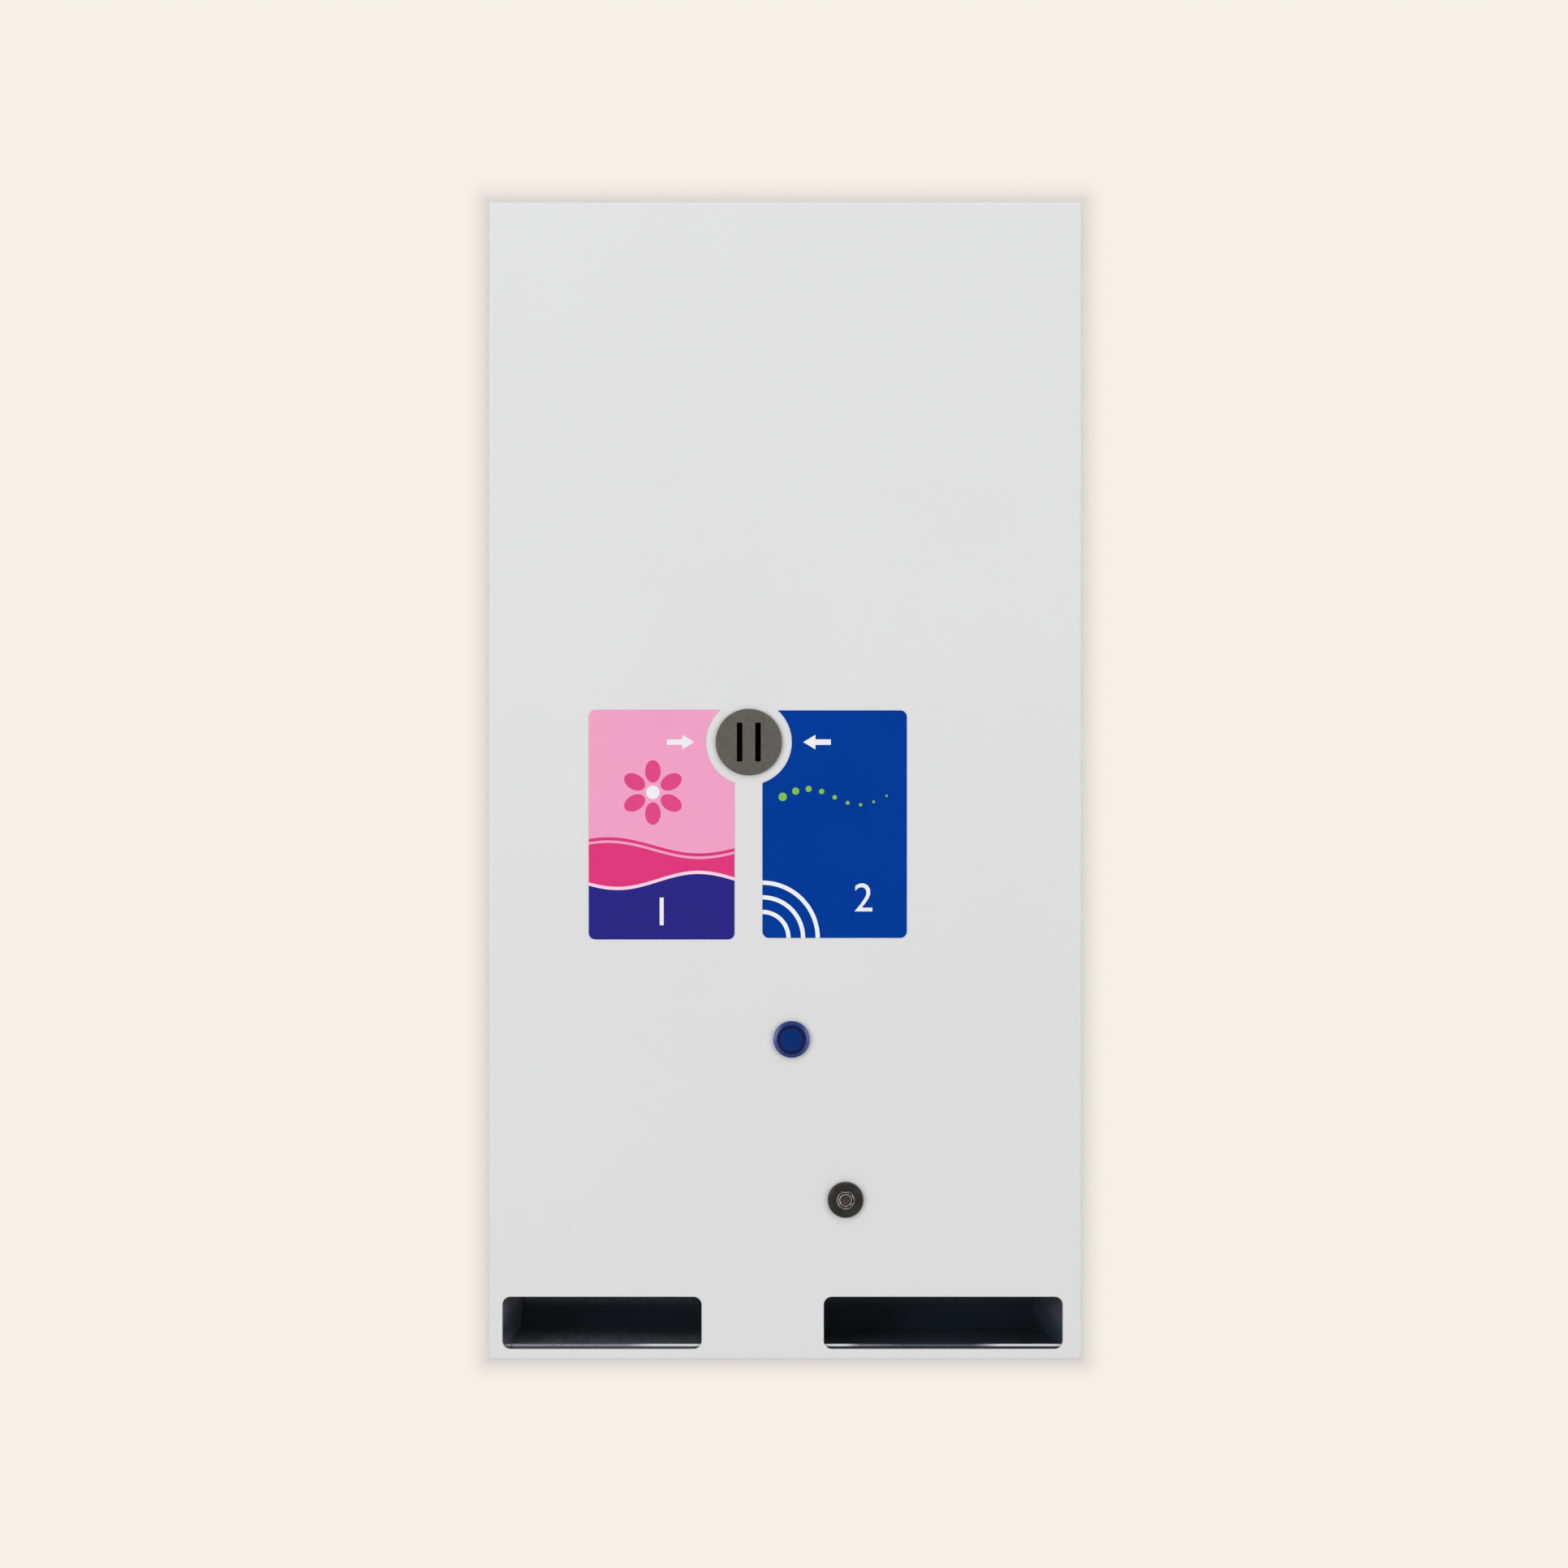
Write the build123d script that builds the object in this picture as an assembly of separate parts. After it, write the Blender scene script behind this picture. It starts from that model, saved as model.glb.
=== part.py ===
from build123d import *
import os
from math import acos, cos, pi, radians, sin, sqrt, tan

# A wall-hung twin-column coin vendor for packs of towels and tampons.
# Sizes are in millimetres. The wall is the plane y = 0 and the front faces -Y. +X is to the
# right seen from the front, +Z is up, and z = 0 is the middle of the four wall holes.

# Whole machine
door_width = 366.0
door_height = 714.0
machine_depth = 155.0  # wall to the face of the door
cut_overrun = 2.0  # how far a cut runs past the face it opens
slide_gap = 0.3  # between parts that slide on each other
press_step = 0.05  # radial gap of a shaft in its hole

# Front door, a folded lid that closes over the casing
door_sheet = 1.5
door_flange = 20.0
door_bend = 1.8
door_bend_inside = 0.4

# Back casing, a folded box
casing_sheet = 1.2
casing_bend = 1.5
lid_side_gap = 3.5  # the hinge leaves lie in it
lid_end_gap = 2.0
lid_front_gap = 1.5
return_flange = 8.0
wall_hole_spacing_x = 220.0
wall_hole_inset = 127.0  # from the door's top and bottom edges
wall_hole_radius = 3.25
buffer_radius = 3.5
buffer_thickness = 1.2
buffer_height = 200.0  # above and below the middle

# Door hinge on the left edge
hinge_leaf = 1.0
hinge_knuckle_radius = 2.2
hinge_pin_radius = 1.2
hinge_axis_inset = 0.9  # from the inside of the door's left flange
hinge_axis_back = 3.0  # behind the rear edge of that flange
hinge_end_gap = 8.0
hinge_knuckles = 23
hinge_knuckle_gap = 0.4
hinge_casing_leaf_width = 14.0
hinge_pin_end = 0.8

# Bays, seen from the front
centre_bay = 102.0
bay_to_mouth = 0.5
mouth_to_column = 1.5

# Delivery mouths in the door
towel_mouth_edge = 8.75  # from the door's left edge
tampon_mouth_edge = 12.0  # from the door's right edge
tampon_mouth_reach = 23.75  # from the middle of the machine
mouth_rise = 6.85
mouth_height = 32.25
mouth_corner = 5.0

# Delivery trays
tray_wall = 1.5
tray_margin = 0.25
tray_seat_gap = 0.3
tray_front_gap = 0.5
tray_back_gap = 3.0
tray_inner_draft = 3.0  # how far the walls by the centre draw in from front to back
towel_tray_draft = 5.0
tampon_tray_draft = 10.0
tray_cove = 24.0
tray_over_mouth = 2.0
tray_lip_height = 1.6
tray_lip_radius = 1.3

# Magazine columns
column_sheet = 1.2
column_stand_off = 4.8
magazine_depth = 67.6
column_lip = 8.0
column_loading_gap = 102.0
column_flange = 10.0
exit_height = 28.0
access_hole_radius = 8.0
stop_tab_reach = 4.0
stop_tab_length = 9.0
stop_tab_inset = 12.0
column_screw_radius = 3.5
column_screw_head = 2.2
column_screw_count = 4
column_screw_inset = 30.0

# Shelves under the columns
shelf_over_mouth = 21.0
shelf_sheet = 1.5
shelf_flange = 12.0
shelf_slot = 5.0

# Followers that ride on the stacks
follower_sheet = 1.2
follower_height = 18.0
follower_gap = 0.8
weight_width = 70.0
weight_depth = 36.0
weight_height = 12.0

# Ejectors, racks and pinions
eject_stroke = 60.0
blade_height = 22.5
blade_sheet = 2.0
blade_side_gap = 1.0
blade_home = 4.8  # blade's front from the column's back
blade_rear_gap = 0.5
link_width = 3.0
rack_width = 6.0
rack_body = 3.2
rack_top_gap = 0.6
rack_tail = 2.5
rack_lead = 6.0
gear_module = 1.0
gear_backlash = 0.16
pressure_angle = radians(20.0)
root_share = 1.25  # depth of the tooth root as a share of the module
pinion_teeth = 20
pinion_width = 4.0
pinion_hub_radius = 5.0
pinion_hub_length = 2.0
pinion_shaft_radius = 3.0
pinion_shaft_depth = 18.0
tooth_sink = 0.5
guide_wall = 1.2
guide_lip = 0.8
guide_lip_height = 1.1
guide_side_gap = 0.6

# Geared motors
gearbox_width = 24.0
gearbox_length = 44.0
gearbox_edge = 1.0
gearbox_gap = 1.5
motor_radius = 12.0
motor_length = 24.0
motor_tail_radius = 4.0
motor_tail_length = 1.5

# Coin plate on the door
coin_x = -22.4
coin_rise = 380.8  # above the door's bottom edge
coin_plate_radius = 20.5
coin_plate_thickness = 2.2
coin_plate_edge = 0.7
coin_slot_height = 23.9
coin_slot_width = 3.5
coin_slot_spacing = 11.3
coin_slot_corner = 0.5
coin_boss_width = 18.0
coin_boss_height = 27.4
coin_boss_corner = 3.0
coin_boss_gap = 0.3
coin_stud_spacing = 33.0
coin_stud_radius = 1.5
coin_stud_hole_gap = 0.2
coin_nut_flats = 5.5
coin_nut_height = 2.4
coin_stud_tail = 1.6

# Labels stuck on the door
label_sheet = 0.3
label_corner = 4.0
label_cut_radius = 26.5
towel_label_width = 89.75
towel_label_height = 141.5
towel_label_gap = 8.85  # from the middle of the coin plate to the label's near edge
towel_label_top = 19.95
tampon_label_width = 88.9
tampon_label_height = 140.15
tampon_label_gap = 8.4
tampon_label_top = 19.55

# Coin mechanism behind the plate
mech_flange = 2.0
mech_flange_width = 40.0
mech_flange_height = 32.0
mech_width = 24.0
mech_front = 5.5  # from the door's inside to the mechanism's side covers
mech_height_over = 22.0
mech_below = 84.0
channel_width = 4.0
channel_height = 25.6
channel_fall = 13.0
chute_depth = 28.0
chute_sheet = 1.2
chute_back = 58.0  # from the face of the door
mech_cover = 1.2
mech_screw_radius = 2.2
mech_screw_head = 1.2
mech_screw_inset = 5.0

# Coin chute, gate and return chute
chute_half_width = 15.5
chute_length = 112.0
gate_drop = 37.0
gate_length = 26.0
gate_sheet = 1.2
gate_lean = 25.0
gate_pin_radius = 1.5
gate_side_gap = 0.5
gate_pin_tail = 0.8
window_top_drop = 18.0
window_bottom_drop = 47.0
spreader_gap = 1.0
return_left = 24.0
return_right = 43.0
return_foot_gap = 3.9  # above the tray's walls
return_leg_height = 12.0
return_leg_drops = (88.0, 228.0)
return_leg_inset = 3.0
solenoid_width = 15.0
solenoid_depth = 18.0
solenoid_height = 26.0
solenoid_edge = 1.0
solenoid_drop = 24.0

# Cash box and the rail it hangs on
box_left = -46.0
box_right = 14.0
box_rise = 17.0  # above the door's bottom edge
box_depth = 53.0
box_sheet = 1.2
box_wall_gap = 4.2  # from the door's inside
rail_sheet = 1.2
rail_stand_off = 2.7
rail_depth_below_rim = 26.0
rail_height = 15.0
rail_foot = 18.0
rail_inset = 4.0
hook_width = 12.0
hook_inset = 12.0
hook_sheet = 1.2
hook_drop = 8.0
hook_gap = 0.3
box_lift = 12.0  # to clear the rail
box_under_chute = 1.8  # left when the box is lifted

# Push button
button_x = 3.9
button_rise = 197.8
bezel_radius = 11.25
bezel_thickness = 3.0
bezel_rim = 2.2  # height of the straight outer rim, from which the face slopes up
bezel_crown = 0.5  # flat ring left round the recess
bezel_edge = 0.25
bezel_recess_radius = 8.9
bezel_recess = 1.1
button_barrel_radius = 7.9
button_barrel_length = 17.0
button_hole_gap = 0.2
cap_radius = 7.0
cap_gap = 0.1
cap_stand = 0.6
cap_edge = 0.5
cap_length = 8.6
cap_stem_radius = 2.5
cap_stem_length = 12.5
cap_dish_radius = 5.6
cap_dish = 0.3
spring_radius = 4.2
spring_wire = 0.4
spring_turns = 5
spring_end_gap = 0.25
button_floor = 2.0
button_nut_flats = 20.0
button_nut_height = 4.0
switch_width = 16.0
switch_height = 18.0
switch_length = 18.0
switch_bore_depth = 8.0
terminal_width = 4.8
terminal_sheet = 0.8
terminal_length = 7.0
terminal_spacing = 8.0

# Tubular lock
lock_x = 37.15
lock_rise = 99.0
lock_head_radius = 11.0
lock_head = 3.0
lock_head_edge = 1.2
lock_barrel_radius = 9.4
lock_hole_gap = 0.2
lock_reach = 24.0  # from the face of the door to the cam
lock_nut_flats = 24.0
lock_nut_height = 4.0
lock_throat_radius = 7.2
lock_throat = 0.7
plug_radius = 6.0
plug_groove_inner = 3.5
plug_groove_outer = 4.8
plug_groove_depth = 5.0
plug_notch = 1.8
plug_pin_count = 7
plug_pin_radius = 0.5
plug_pin_sink = 0.9
plug_square = 7.0
cam_sheet = 2.0
cam_reach = 26.0
cam_width = 12.0
cam_screw_radius = 5.5
cam_screw_head = 2.2
cam_screw_shank_radius = 2.0
cam_screw_shank = 8.0
cam_edge = 0.5

# Strike that the cam catches
strike_sheet = 1.5
strike_play = 0.8
strike_over_cam = 6.0
strike_height = 24.0
strike_tail = 16.0
strike_lip_width = 16.0
strike_below_lock = 9.0

# Control board
board_rise = 470.0
board_width = 84.0
board_height = 120.0
board_sheet = 1.6
board_spacer = 8.0
board_spacer_radius = 3.0
board_hole_inset = 5.0
relay_width = 16.0
relay_height = 20.0
relay_depth = 15.0
relay_count = 3
relay_spacing = 22.0
relay_drop = 26.0
relay_edge = 0.8
terminal_strip_width = 72.0
terminal_strip_height = 10.0
terminal_strip_depth = 12.0
terminal_poles = 12
terminal_mouth = 3.4
terminal_mouth_depth = 5.0
capacitor_radius = 5.0
capacitor_length = 18.0
capacitor_spacing = 14.0
capacitor_drop = 58.0
capacitor_edge = 0.6
chip_width = 10.0
chip_height = 34.0
chip_depth = 4.0
chip_offset = 22.0
chip_drop = 74.0

# Battery pack
battery_rise = 160.0
cell_radius = 16.6
cell_length = 60.0
cell_nub_radius = 4.8
cell_nub = 1.5
cell_gap = 0.6
cell_edge = 1.0
holder_wall = 1.8
holder_base = 2.0
holder_depth = 24.0

# Cable loom
loom_radius = 1.8
loom_bend = 9.0
loom_depth = 17.0  # from the wall
loom_side = 44.5
loom_floor_gap = 12.0
loom_drop = 16.0
loom_start = 28.0

# Edges of the door and the casing, and the levels that other pieces follow
door_left = -door_width / 2
door_right = door_width / 2
door_bottom = -door_height / 2
door_top = door_height / 2
door_face = -machine_depth
door_inside = door_face + door_sheet
flange_rear = door_face + door_flange

casing_left = door_left + door_sheet + lid_side_gap
casing_right = -casing_left
casing_bottom = door_bottom + door_sheet + lid_end_gap
casing_top = -casing_bottom
casing_front = door_inside + lid_front_gap
back_inside = -casing_sheet
floor_top = casing_bottom + casing_sheet
wall_hole_spacing_z = door_height - 2 * wall_hole_inset

hinge_x = door_left + door_sheet + hinge_axis_inset
hinge_y = flange_rear + hinge_axis_back
hinge_bottom = casing_bottom + hinge_end_gap
hinge_top = casing_top - hinge_end_gap

mouth_bottom = door_bottom + mouth_rise
mouth_top = mouth_bottom + mouth_height
towel_mouth = (door_left + towel_mouth_edge, -centre_bay / 2 - bay_to_mouth)
tampon_mouth = (tampon_mouth_reach, door_right - tampon_mouth_edge)
tray_top = mouth_top + tray_over_mouth
tray_front = door_inside + tray_front_gap
tray_floor = floor_top + tray_seat_gap + tray_wall

column_back = back_inside - column_stand_off - column_sheet  # front face of the back wall
column_front = column_back - magazine_depth - column_sheet
towel_column_ends = (towel_mouth[0] - mouth_to_column, -centre_bay / 2)
tampon_column_ends = (centre_bay / 2, tampon_mouth[1] + mouth_to_column)
shelf_top = mouth_top + shelf_over_mouth
shelf_under = shelf_top - shelf_sheet
column_bottom = shelf_under - shelf_flange
column_top = casing_top - casing_sheet - column_loading_gap
blade_bottom = shelf_top + slide_gap
blade_top = blade_bottom + blade_height
stop_bottom = blade_top + slide_gap
stop_top = stop_bottom + column_sheet
tray_back = column_front - tray_back_gap

rack_top = shelf_under - rack_top_gap
rack_root = rack_top - rack_body
rack_pitch_line = rack_root - root_share * gear_module
rack_tip = rack_pitch_line - gear_module
rack_rear = column_back - blade_rear_gap
pitch_radius = gear_module * pinion_teeth / 2
pinion_y = rack_rear - eject_stroke + rack_tail
pinion_z = rack_pitch_line - pitch_radius
guide_half = rack_width / 2 + slide_gap + guide_wall

coin_z = door_bottom + coin_rise
button_z = door_bottom + button_rise
lock_z = door_bottom + lock_rise
cam_front = door_face + lock_reach
cam_back = cam_front + cam_sheet
chute_rear = door_face + chute_back
chute_front = chute_rear - chute_depth
mech_bottom = coin_z - mech_below
mech_top = coin_z + mech_height_over
chute_bottom = mech_bottom - chute_length
box_bottom = door_bottom + box_rise
box_top = chute_bottom - box_lift - box_under_chute
box_front = door_inside + box_wall_gap
board_bottom = door_bottom + board_rise
board_front = back_inside - board_spacer - board_sheet
battery_bottom = door_bottom + battery_rise


# A block between two corners, given in either order
def block(x_a, x_b, y_a, y_b, z_a, z_b):
    size = (abs(x_b - x_a), abs(y_b - y_a), abs(z_b - z_a))
    return Pos((x_a + x_b) / 2, (y_a + y_b) / 2, (z_a + z_b) / 2) * Box(*size)


# A front-view outline made thick from one depth to another
def slab(outline, y_front, y_rear):
    return extrude(Plane.XZ.offset(-y_rear) * outline, amount=y_rear - y_front)


# A round bar along the depth
def rod(radius, x, z, y_front, y_rear):
    return slab(Pos(x, z) * Circle(radius), y_front, y_rear)


# A side-view outline, points of depth and height, made wide from one x to another
def side_slab(points, x_low, x_high):
    outline = make_face(Polyline(*points, close=True))
    return extrude(Plane.YZ.offset(x_low) * outline, amount=x_high - x_low)


# A front-view rectangle with rounded corners between two corners
def rounded(x_low, x_high, z_low, z_high, corner):
    shape = RectangleRounded(x_high - x_low, z_high - z_low, corner)
    return Pos((x_low + x_high) / 2, (z_low + z_high) / 2) * shape


# A six-sided nut on a rod along the depth
def hex_nut(flats, bore, x, z, y_front, y_rear):
    outline = RegularPolygon(flats / sqrt(3), 6) - Circle(bore)
    return slab(Pos(x, z) * outline, y_front, y_rear)


def keep(node, shape):
    shape.label = node
    export_step(shape, "parts/" + node + ".step")


# Front door with its folded edges, mouths and holes
def make_front_door():
    shell = block(door_left, door_right, door_face, flange_rear, door_bottom, door_top)
    shell = fillet(shell.faces().sort_by(Axis.Y)[0].edges(), door_bend)
    hollow = block(door_left + door_sheet, door_right - door_sheet,
                   door_inside, flange_rear + cut_overrun,
                   door_bottom + door_sheet, door_top - door_sheet)
    hollow = fillet(hollow.faces().sort_by(Axis.Y)[0].edges(), door_bend_inside)
    door = shell - hollow
    boss_width, boss_height = coin_boss_width + 2 * coin_boss_gap, coin_boss_height + 2 * coin_boss_gap
    openings = [rounded(*towel_mouth, mouth_bottom, mouth_top, mouth_corner),
                rounded(*tampon_mouth, mouth_bottom, mouth_top, mouth_corner),
                Pos(button_x, button_z) * Circle(button_barrel_radius + button_hole_gap),
                Pos(lock_x, lock_z) * Circle(lock_barrel_radius + lock_hole_gap),
                Pos(coin_x, coin_z) * RectangleRounded(boss_width, boss_height, coin_boss_corner)]
    for x in coin_stud_places():
        openings.append(Pos(x, coin_z) * Circle(coin_stud_radius + coin_stud_hole_gap))
    for opening in openings:
        door -= slab(opening, door_face - cut_overrun, door_inside + cut_overrun)
    return door


# Folded back casing with front return flanges and four wall holes
def make_back_casing():
    shell = block(casing_left, casing_right, casing_front, 0, casing_bottom, casing_top)
    rear = shell.faces().sort_by(Axis.Y)[-1].edges()
    shell = fillet(rear, casing_bend)
    left, right, ceiling = casing_left + casing_sheet, casing_right - casing_sheet, casing_top - casing_sheet
    casing = shell - block(left, right, casing_front - cut_overrun, back_inside, floor_top, ceiling)
    flange_depth = (casing_front, casing_front + casing_sheet)
    for side, inward in ((left, return_flange), (right, -return_flange)):
        casing += block(side, side + inward, *flange_depth, tray_top + return_flange, ceiling)
    casing += block(left, right, *flange_depth, ceiling - return_flange, ceiling)
    for x, z in wall_hole_places():
        casing -= rod(wall_hole_radius, x, z, back_inside - cut_overrun, cut_overrun)
    return casing


def wall_hole_places():
    return [(across * wall_hole_spacing_x / 2, up * wall_hole_spacing_z / 2)
            for across in (-1, 1) for up in (-1, 1)]


# Rubber pads on the return flanges that the door closes against
def make_door_buffers():
    pads = []
    for side in (casing_left + casing_sheet, casing_right - casing_sheet):
        x = side + return_flange / 2 if side < 0 else side - return_flange / 2
        for z in (-buffer_height, buffer_height):
            pads.append(rod(buffer_radius, x, z, casing_front - buffer_thickness, casing_front))
    return Compound(children=pads)


# Hinge knuckles take turns along the pin: even ones belong to the casing, odd ones to the door
def knuckle_spans(first):
    pitch = (hinge_top - hinge_bottom) / hinge_knuckles
    for count in range(first, hinge_knuckles, 2):
        low = hinge_bottom + count * pitch
        yield low + hinge_knuckle_gap / 2, low + pitch - hinge_knuckle_gap / 2


def upright_rod(radius, x, y, z_low, z_high):
    return extrude(Pos(x, y, z_low) * Circle(radius), amount=z_high - z_low)


def make_hinge_leaf(first, plate_x, plate_y, near_edge):
    leaf = block(*plate_x, *plate_y, hinge_bottom, hinge_top)
    for low, high in knuckle_spans(first):
        leaf += upright_rod(hinge_knuckle_radius, hinge_x, hinge_y, low, high)
        leaf += block(*plate_x, near_edge, hinge_y, low, high)
    bore = hinge_pin_radius + press_step
    return leaf - upright_rod(bore, hinge_x, hinge_y, hinge_bottom - cut_overrun, hinge_top + cut_overrun)


def make_door_hinge_leaf():
    inner_face = door_left + door_sheet
    return make_hinge_leaf(1, (inner_face, inner_face + hinge_leaf),
                           (door_inside + door_bend_inside, flange_rear), flange_rear)


def make_casing_hinge_leaf():
    near = hinge_y + hinge_axis_back
    return make_hinge_leaf(0, (casing_left - hinge_leaf, casing_left),
                           (near, near + hinge_casing_leaf_width), near)


def make_hinge_pin():
    return upright_rod(hinge_pin_radius, hinge_x, hinge_y,
                       hinge_bottom - hinge_pin_end, hinge_top + hinge_pin_end)


# Delivery tray: a scoop with a cove at the back, side walls that draw in, and a rounded front lip
def scoop(mouth, drafts, grow, y_front, z_top):
    low, high = mouth[0] - tray_margin - grow, mouth[1] + tray_margin + grow
    rear, floor, cove = tray_back - tray_wall + grow, tray_floor - grow, tray_cove + grow
    edges = Curve() + [Line((y_front, floor), (rear - cove, floor)),
                       RadiusArc((rear - cove, floor), (rear, floor + cove), -cove),
                       Line((rear, floor + cove), (rear, z_top)),
                       Line((rear, z_top), (y_front, z_top)),
                       Line((y_front, z_top), (y_front, floor))]
    body = extrude(Plane.YZ.offset(low) * make_face(edges), amount=high - low)
    plan = make_face(Polyline((low, tray_front), (high, tray_front), (high - drafts[1], rear),
                              (low + drafts[0], rear), close=True))
    plan += Pos((low + high) / 2, tray_front - cut_overrun / 2) * Rectangle(high - low, cut_overrun)
    height = z_top - floor
    return body & extrude(Pos(0, 0, floor) * plan, amount=height)


def make_tray(mouth, drafts):
    inner = scoop(mouth, drafts, 0, tray_front - cut_overrun, tray_top + cut_overrun)
    tray = scoop(mouth, drafts, tray_wall, tray_front, tray_top) - inner
    low, high = mouth[0] - tray_margin, mouth[1] + tray_margin
    lip_rear = tray_front + 2 * tray_lip_radius
    tray += block(low, high, tray_front, lip_rear, tray_floor, tray_floor + tray_lip_height)
    crown = Pos(tray_front + tray_lip_radius, tray_floor + tray_lip_height) * Circle(tray_lip_radius)
    return tray + extrude(Plane.YZ.offset(low) * crown, amount=high - low)


# Magazine column: two side walls, a back wall, front lips and tabs that stop the follower
def make_column(ends):
    low, high = ends
    bay_side = high if high < 0 else low
    walls = [block(x, x + column_sheet * inward, back_inside, column_front, column_bottom, column_top)
             for x, inward in ((low, 1), (high, -1))]
    column = walls[0] + walls[1]
    column += block(low, high, column_back, column_back + column_sheet, shelf_top, column_top)
    lip_bottom = shelf_top + exit_height
    for x, inward in ((low + column_sheet, 1), (high - column_sheet, -1)):
        column += block(x, x + inward * column_lip, column_front, column_front + column_sheet,
                        lip_bottom, column_top)
        for y in (column_back - stop_tab_inset, column_front + stop_tab_inset + stop_tab_length):
            column += block(x, x + inward * stop_tab_reach, y, y - stop_tab_length, stop_bottom, stop_top)
    outward = 1 if bay_side < 0 else -1
    column += block(bay_side, bay_side + outward * column_flange, back_inside, back_inside - column_sheet,
                    column_bottom, column_top)
    for x, z in wall_hole_places():
        column -= rod(access_hole_radius, x, z, column_back - cut_overrun, back_inside - column_sheet)
    return column


def make_column_screws():
    heads = []
    pitch = (column_top - column_bottom - 2 * column_screw_inset) / (column_screw_count - 1)
    x = centre_bay / 2 - column_flange / 2
    seat = back_inside - column_sheet
    for side in (-x, x):
        for count in range(column_screw_count):
            z = column_bottom + column_screw_inset + count * pitch
            head = rod(column_screw_radius, side, z, seat - column_screw_head, seat)
            head = fillet(head.edges().sort_by(Axis.Y)[0], column_screw_head / 2)
            heads.append(head)
    return Compound(children=heads)


# Where the rack of a column runs: beside its wall on the centre bay, seen outwards from the bay
def rack_line(side):
    inner = centre_bay / 2 + column_sheet + shelf_sheet + guide_side_gap + guide_half
    return side * inner


def inner_ends(ends):
    return ends[0] + column_sheet, ends[1] - column_sheet


def make_shelf(ends, side):
    low, high = inner_ends(ends)
    shelf = block(low, high, column_back, column_front, shelf_under, shelf_top)
    for x, inward in ((low, 1), (high, -1)):
        shelf += block(x, x + inward * shelf_sheet, column_back, column_front, column_bottom, shelf_under)
    outer = low if side < 0 else high
    clear = rack_line(side) + side * (guide_half + guide_side_gap)
    shelf += block(outer, clear, column_front, column_front + shelf_sheet, column_bottom, shelf_under)
    x = rack_line(side)
    shelf -= block(x - shelf_slot / 2, x + shelf_slot / 2,
                   rack_rear + blade_rear_gap / 2, column_front - cut_overrun,
                   shelf_under - cut_overrun, shelf_top + cut_overrun)
    return shelf


def make_follower(ends):
    low, high = inner_ends(ends)
    low, high = low + follower_gap, high - follower_gap
    rear, front = column_back - follower_gap, column_front + column_sheet + follower_gap
    bottom = stop_top + press_step
    pan = block(low, high, front, rear, bottom, bottom + follower_height)
    return pan - block(low + follower_sheet, high - follower_sheet,
                       front + follower_sheet, rear - follower_sheet,
                       bottom + follower_sheet, bottom + follower_height + cut_overrun)


def make_follower_weight(ends):
    middle_x = (ends[0] + ends[1]) / 2
    middle_y = (column_back + column_front) / 2
    bottom = stop_top + press_step + follower_sheet
    bar = block(middle_x - weight_width / 2, middle_x + weight_width / 2, middle_y - weight_depth / 2,
                middle_y + weight_depth / 2, bottom, bottom + weight_height)
    return chamfer(bar.faces().sort_by(Axis.Z)[-1].edges(), follower_sheet)


# Ejector: an angled blade on the shelf, with a link down to a toothed rack under it
def make_ejector(ends, side):
    low, high = inner_ends(ends)
    low, high = low + blade_side_gap, high - blade_side_gap
    face = column_back - blade_home
    x = rack_line(side)
    ejector = block(low, high, face, face + blade_sheet, blade_bottom, blade_top)
    ejector += block(low, high, face, rack_rear, blade_bottom, blade_bottom + shelf_sheet)
    ejector += block(x - link_width / 2, x + link_width / 2, face, rack_rear, rack_top, blade_bottom)
    front = pinion_y - rack_lead
    ejector += block(x - rack_width / 2, x + rack_width / 2, front, rack_rear, rack_root, rack_top)
    pitch = pi * gear_module
    half = pitch / 4 - gear_backlash / 2
    lean = tan(pressure_angle)
    tip_half, root_half = half - gear_module * lean, half + root_share * gear_module * lean
    count = int((rack_rear - pinion_y) / pitch) + 1
    for step in range(-2, count + 1):
        y = pinion_y + (step + 1 / 2) * pitch
        if front + root_half <= y <= rack_rear - root_half:
            ejector += side_slab([(y - root_half, rack_root), (y + root_half, rack_root),
                                  (y + tip_half, rack_tip), (y - tip_half, rack_tip)],
                                 x - pinion_width / 2, x + pinion_width / 2)
    return ejector


# Rails that hold the rack up against the shelf
def make_rack_guides(side):
    x = rack_line(side)
    rails = []
    for hand in (-1, 1):
        wall = x + hand * (guide_half - guide_wall)
        lip_top = rack_root - slide_gap
        lip_low = lip_top - guide_lip_height
        rail = block(wall, x + hand * guide_half, column_front, rack_rear, lip_low, shelf_under)
        rails.append(rail + block(wall, wall - hand * guide_lip, column_front, rack_rear, lip_low, lip_top))
    return Compound(children=rails)


# One involute tooth that points up, with its foot sunk in the root circle
def gear_tooth():
    base = pitch_radius * cos(pressure_angle)
    outer = pitch_radius + gear_module
    root = pitch_radius - root_share * gear_module
    half_pitch_angle = (pi * gear_module / 2 - gear_backlash) / 2 / pitch_radius
    spread = half_pitch_angle + tan(pressure_angle) - pressure_angle

    def flank(radius, hand):
        roll = acos(min(1, base / radius))
        turn = spread - (tan(roll) - roll)
        return radius * sin(turn) * hand, radius * cos(turn)

    middle = (base + outer) / 2
    foot = root - tooth_sink
    feet = [(foot * sin(spread) * hand, foot * cos(spread)) for hand in (-1, 1)]
    edges = Curve() + [Line(feet[0], flank(base, -1)),
                       ThreePointArc(flank(base, -1), flank(middle, -1), flank(outer, -1)),
                       ThreePointArc(flank(outer, -1), (0, outer), flank(outer, 1)),
                       ThreePointArc(flank(outer, 1), flank(middle, 1), flank(base, 1)),
                       Line(flank(base, 1), feet[1]), Line(feet[1], feet[0])]
    return make_face(edges)


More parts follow.
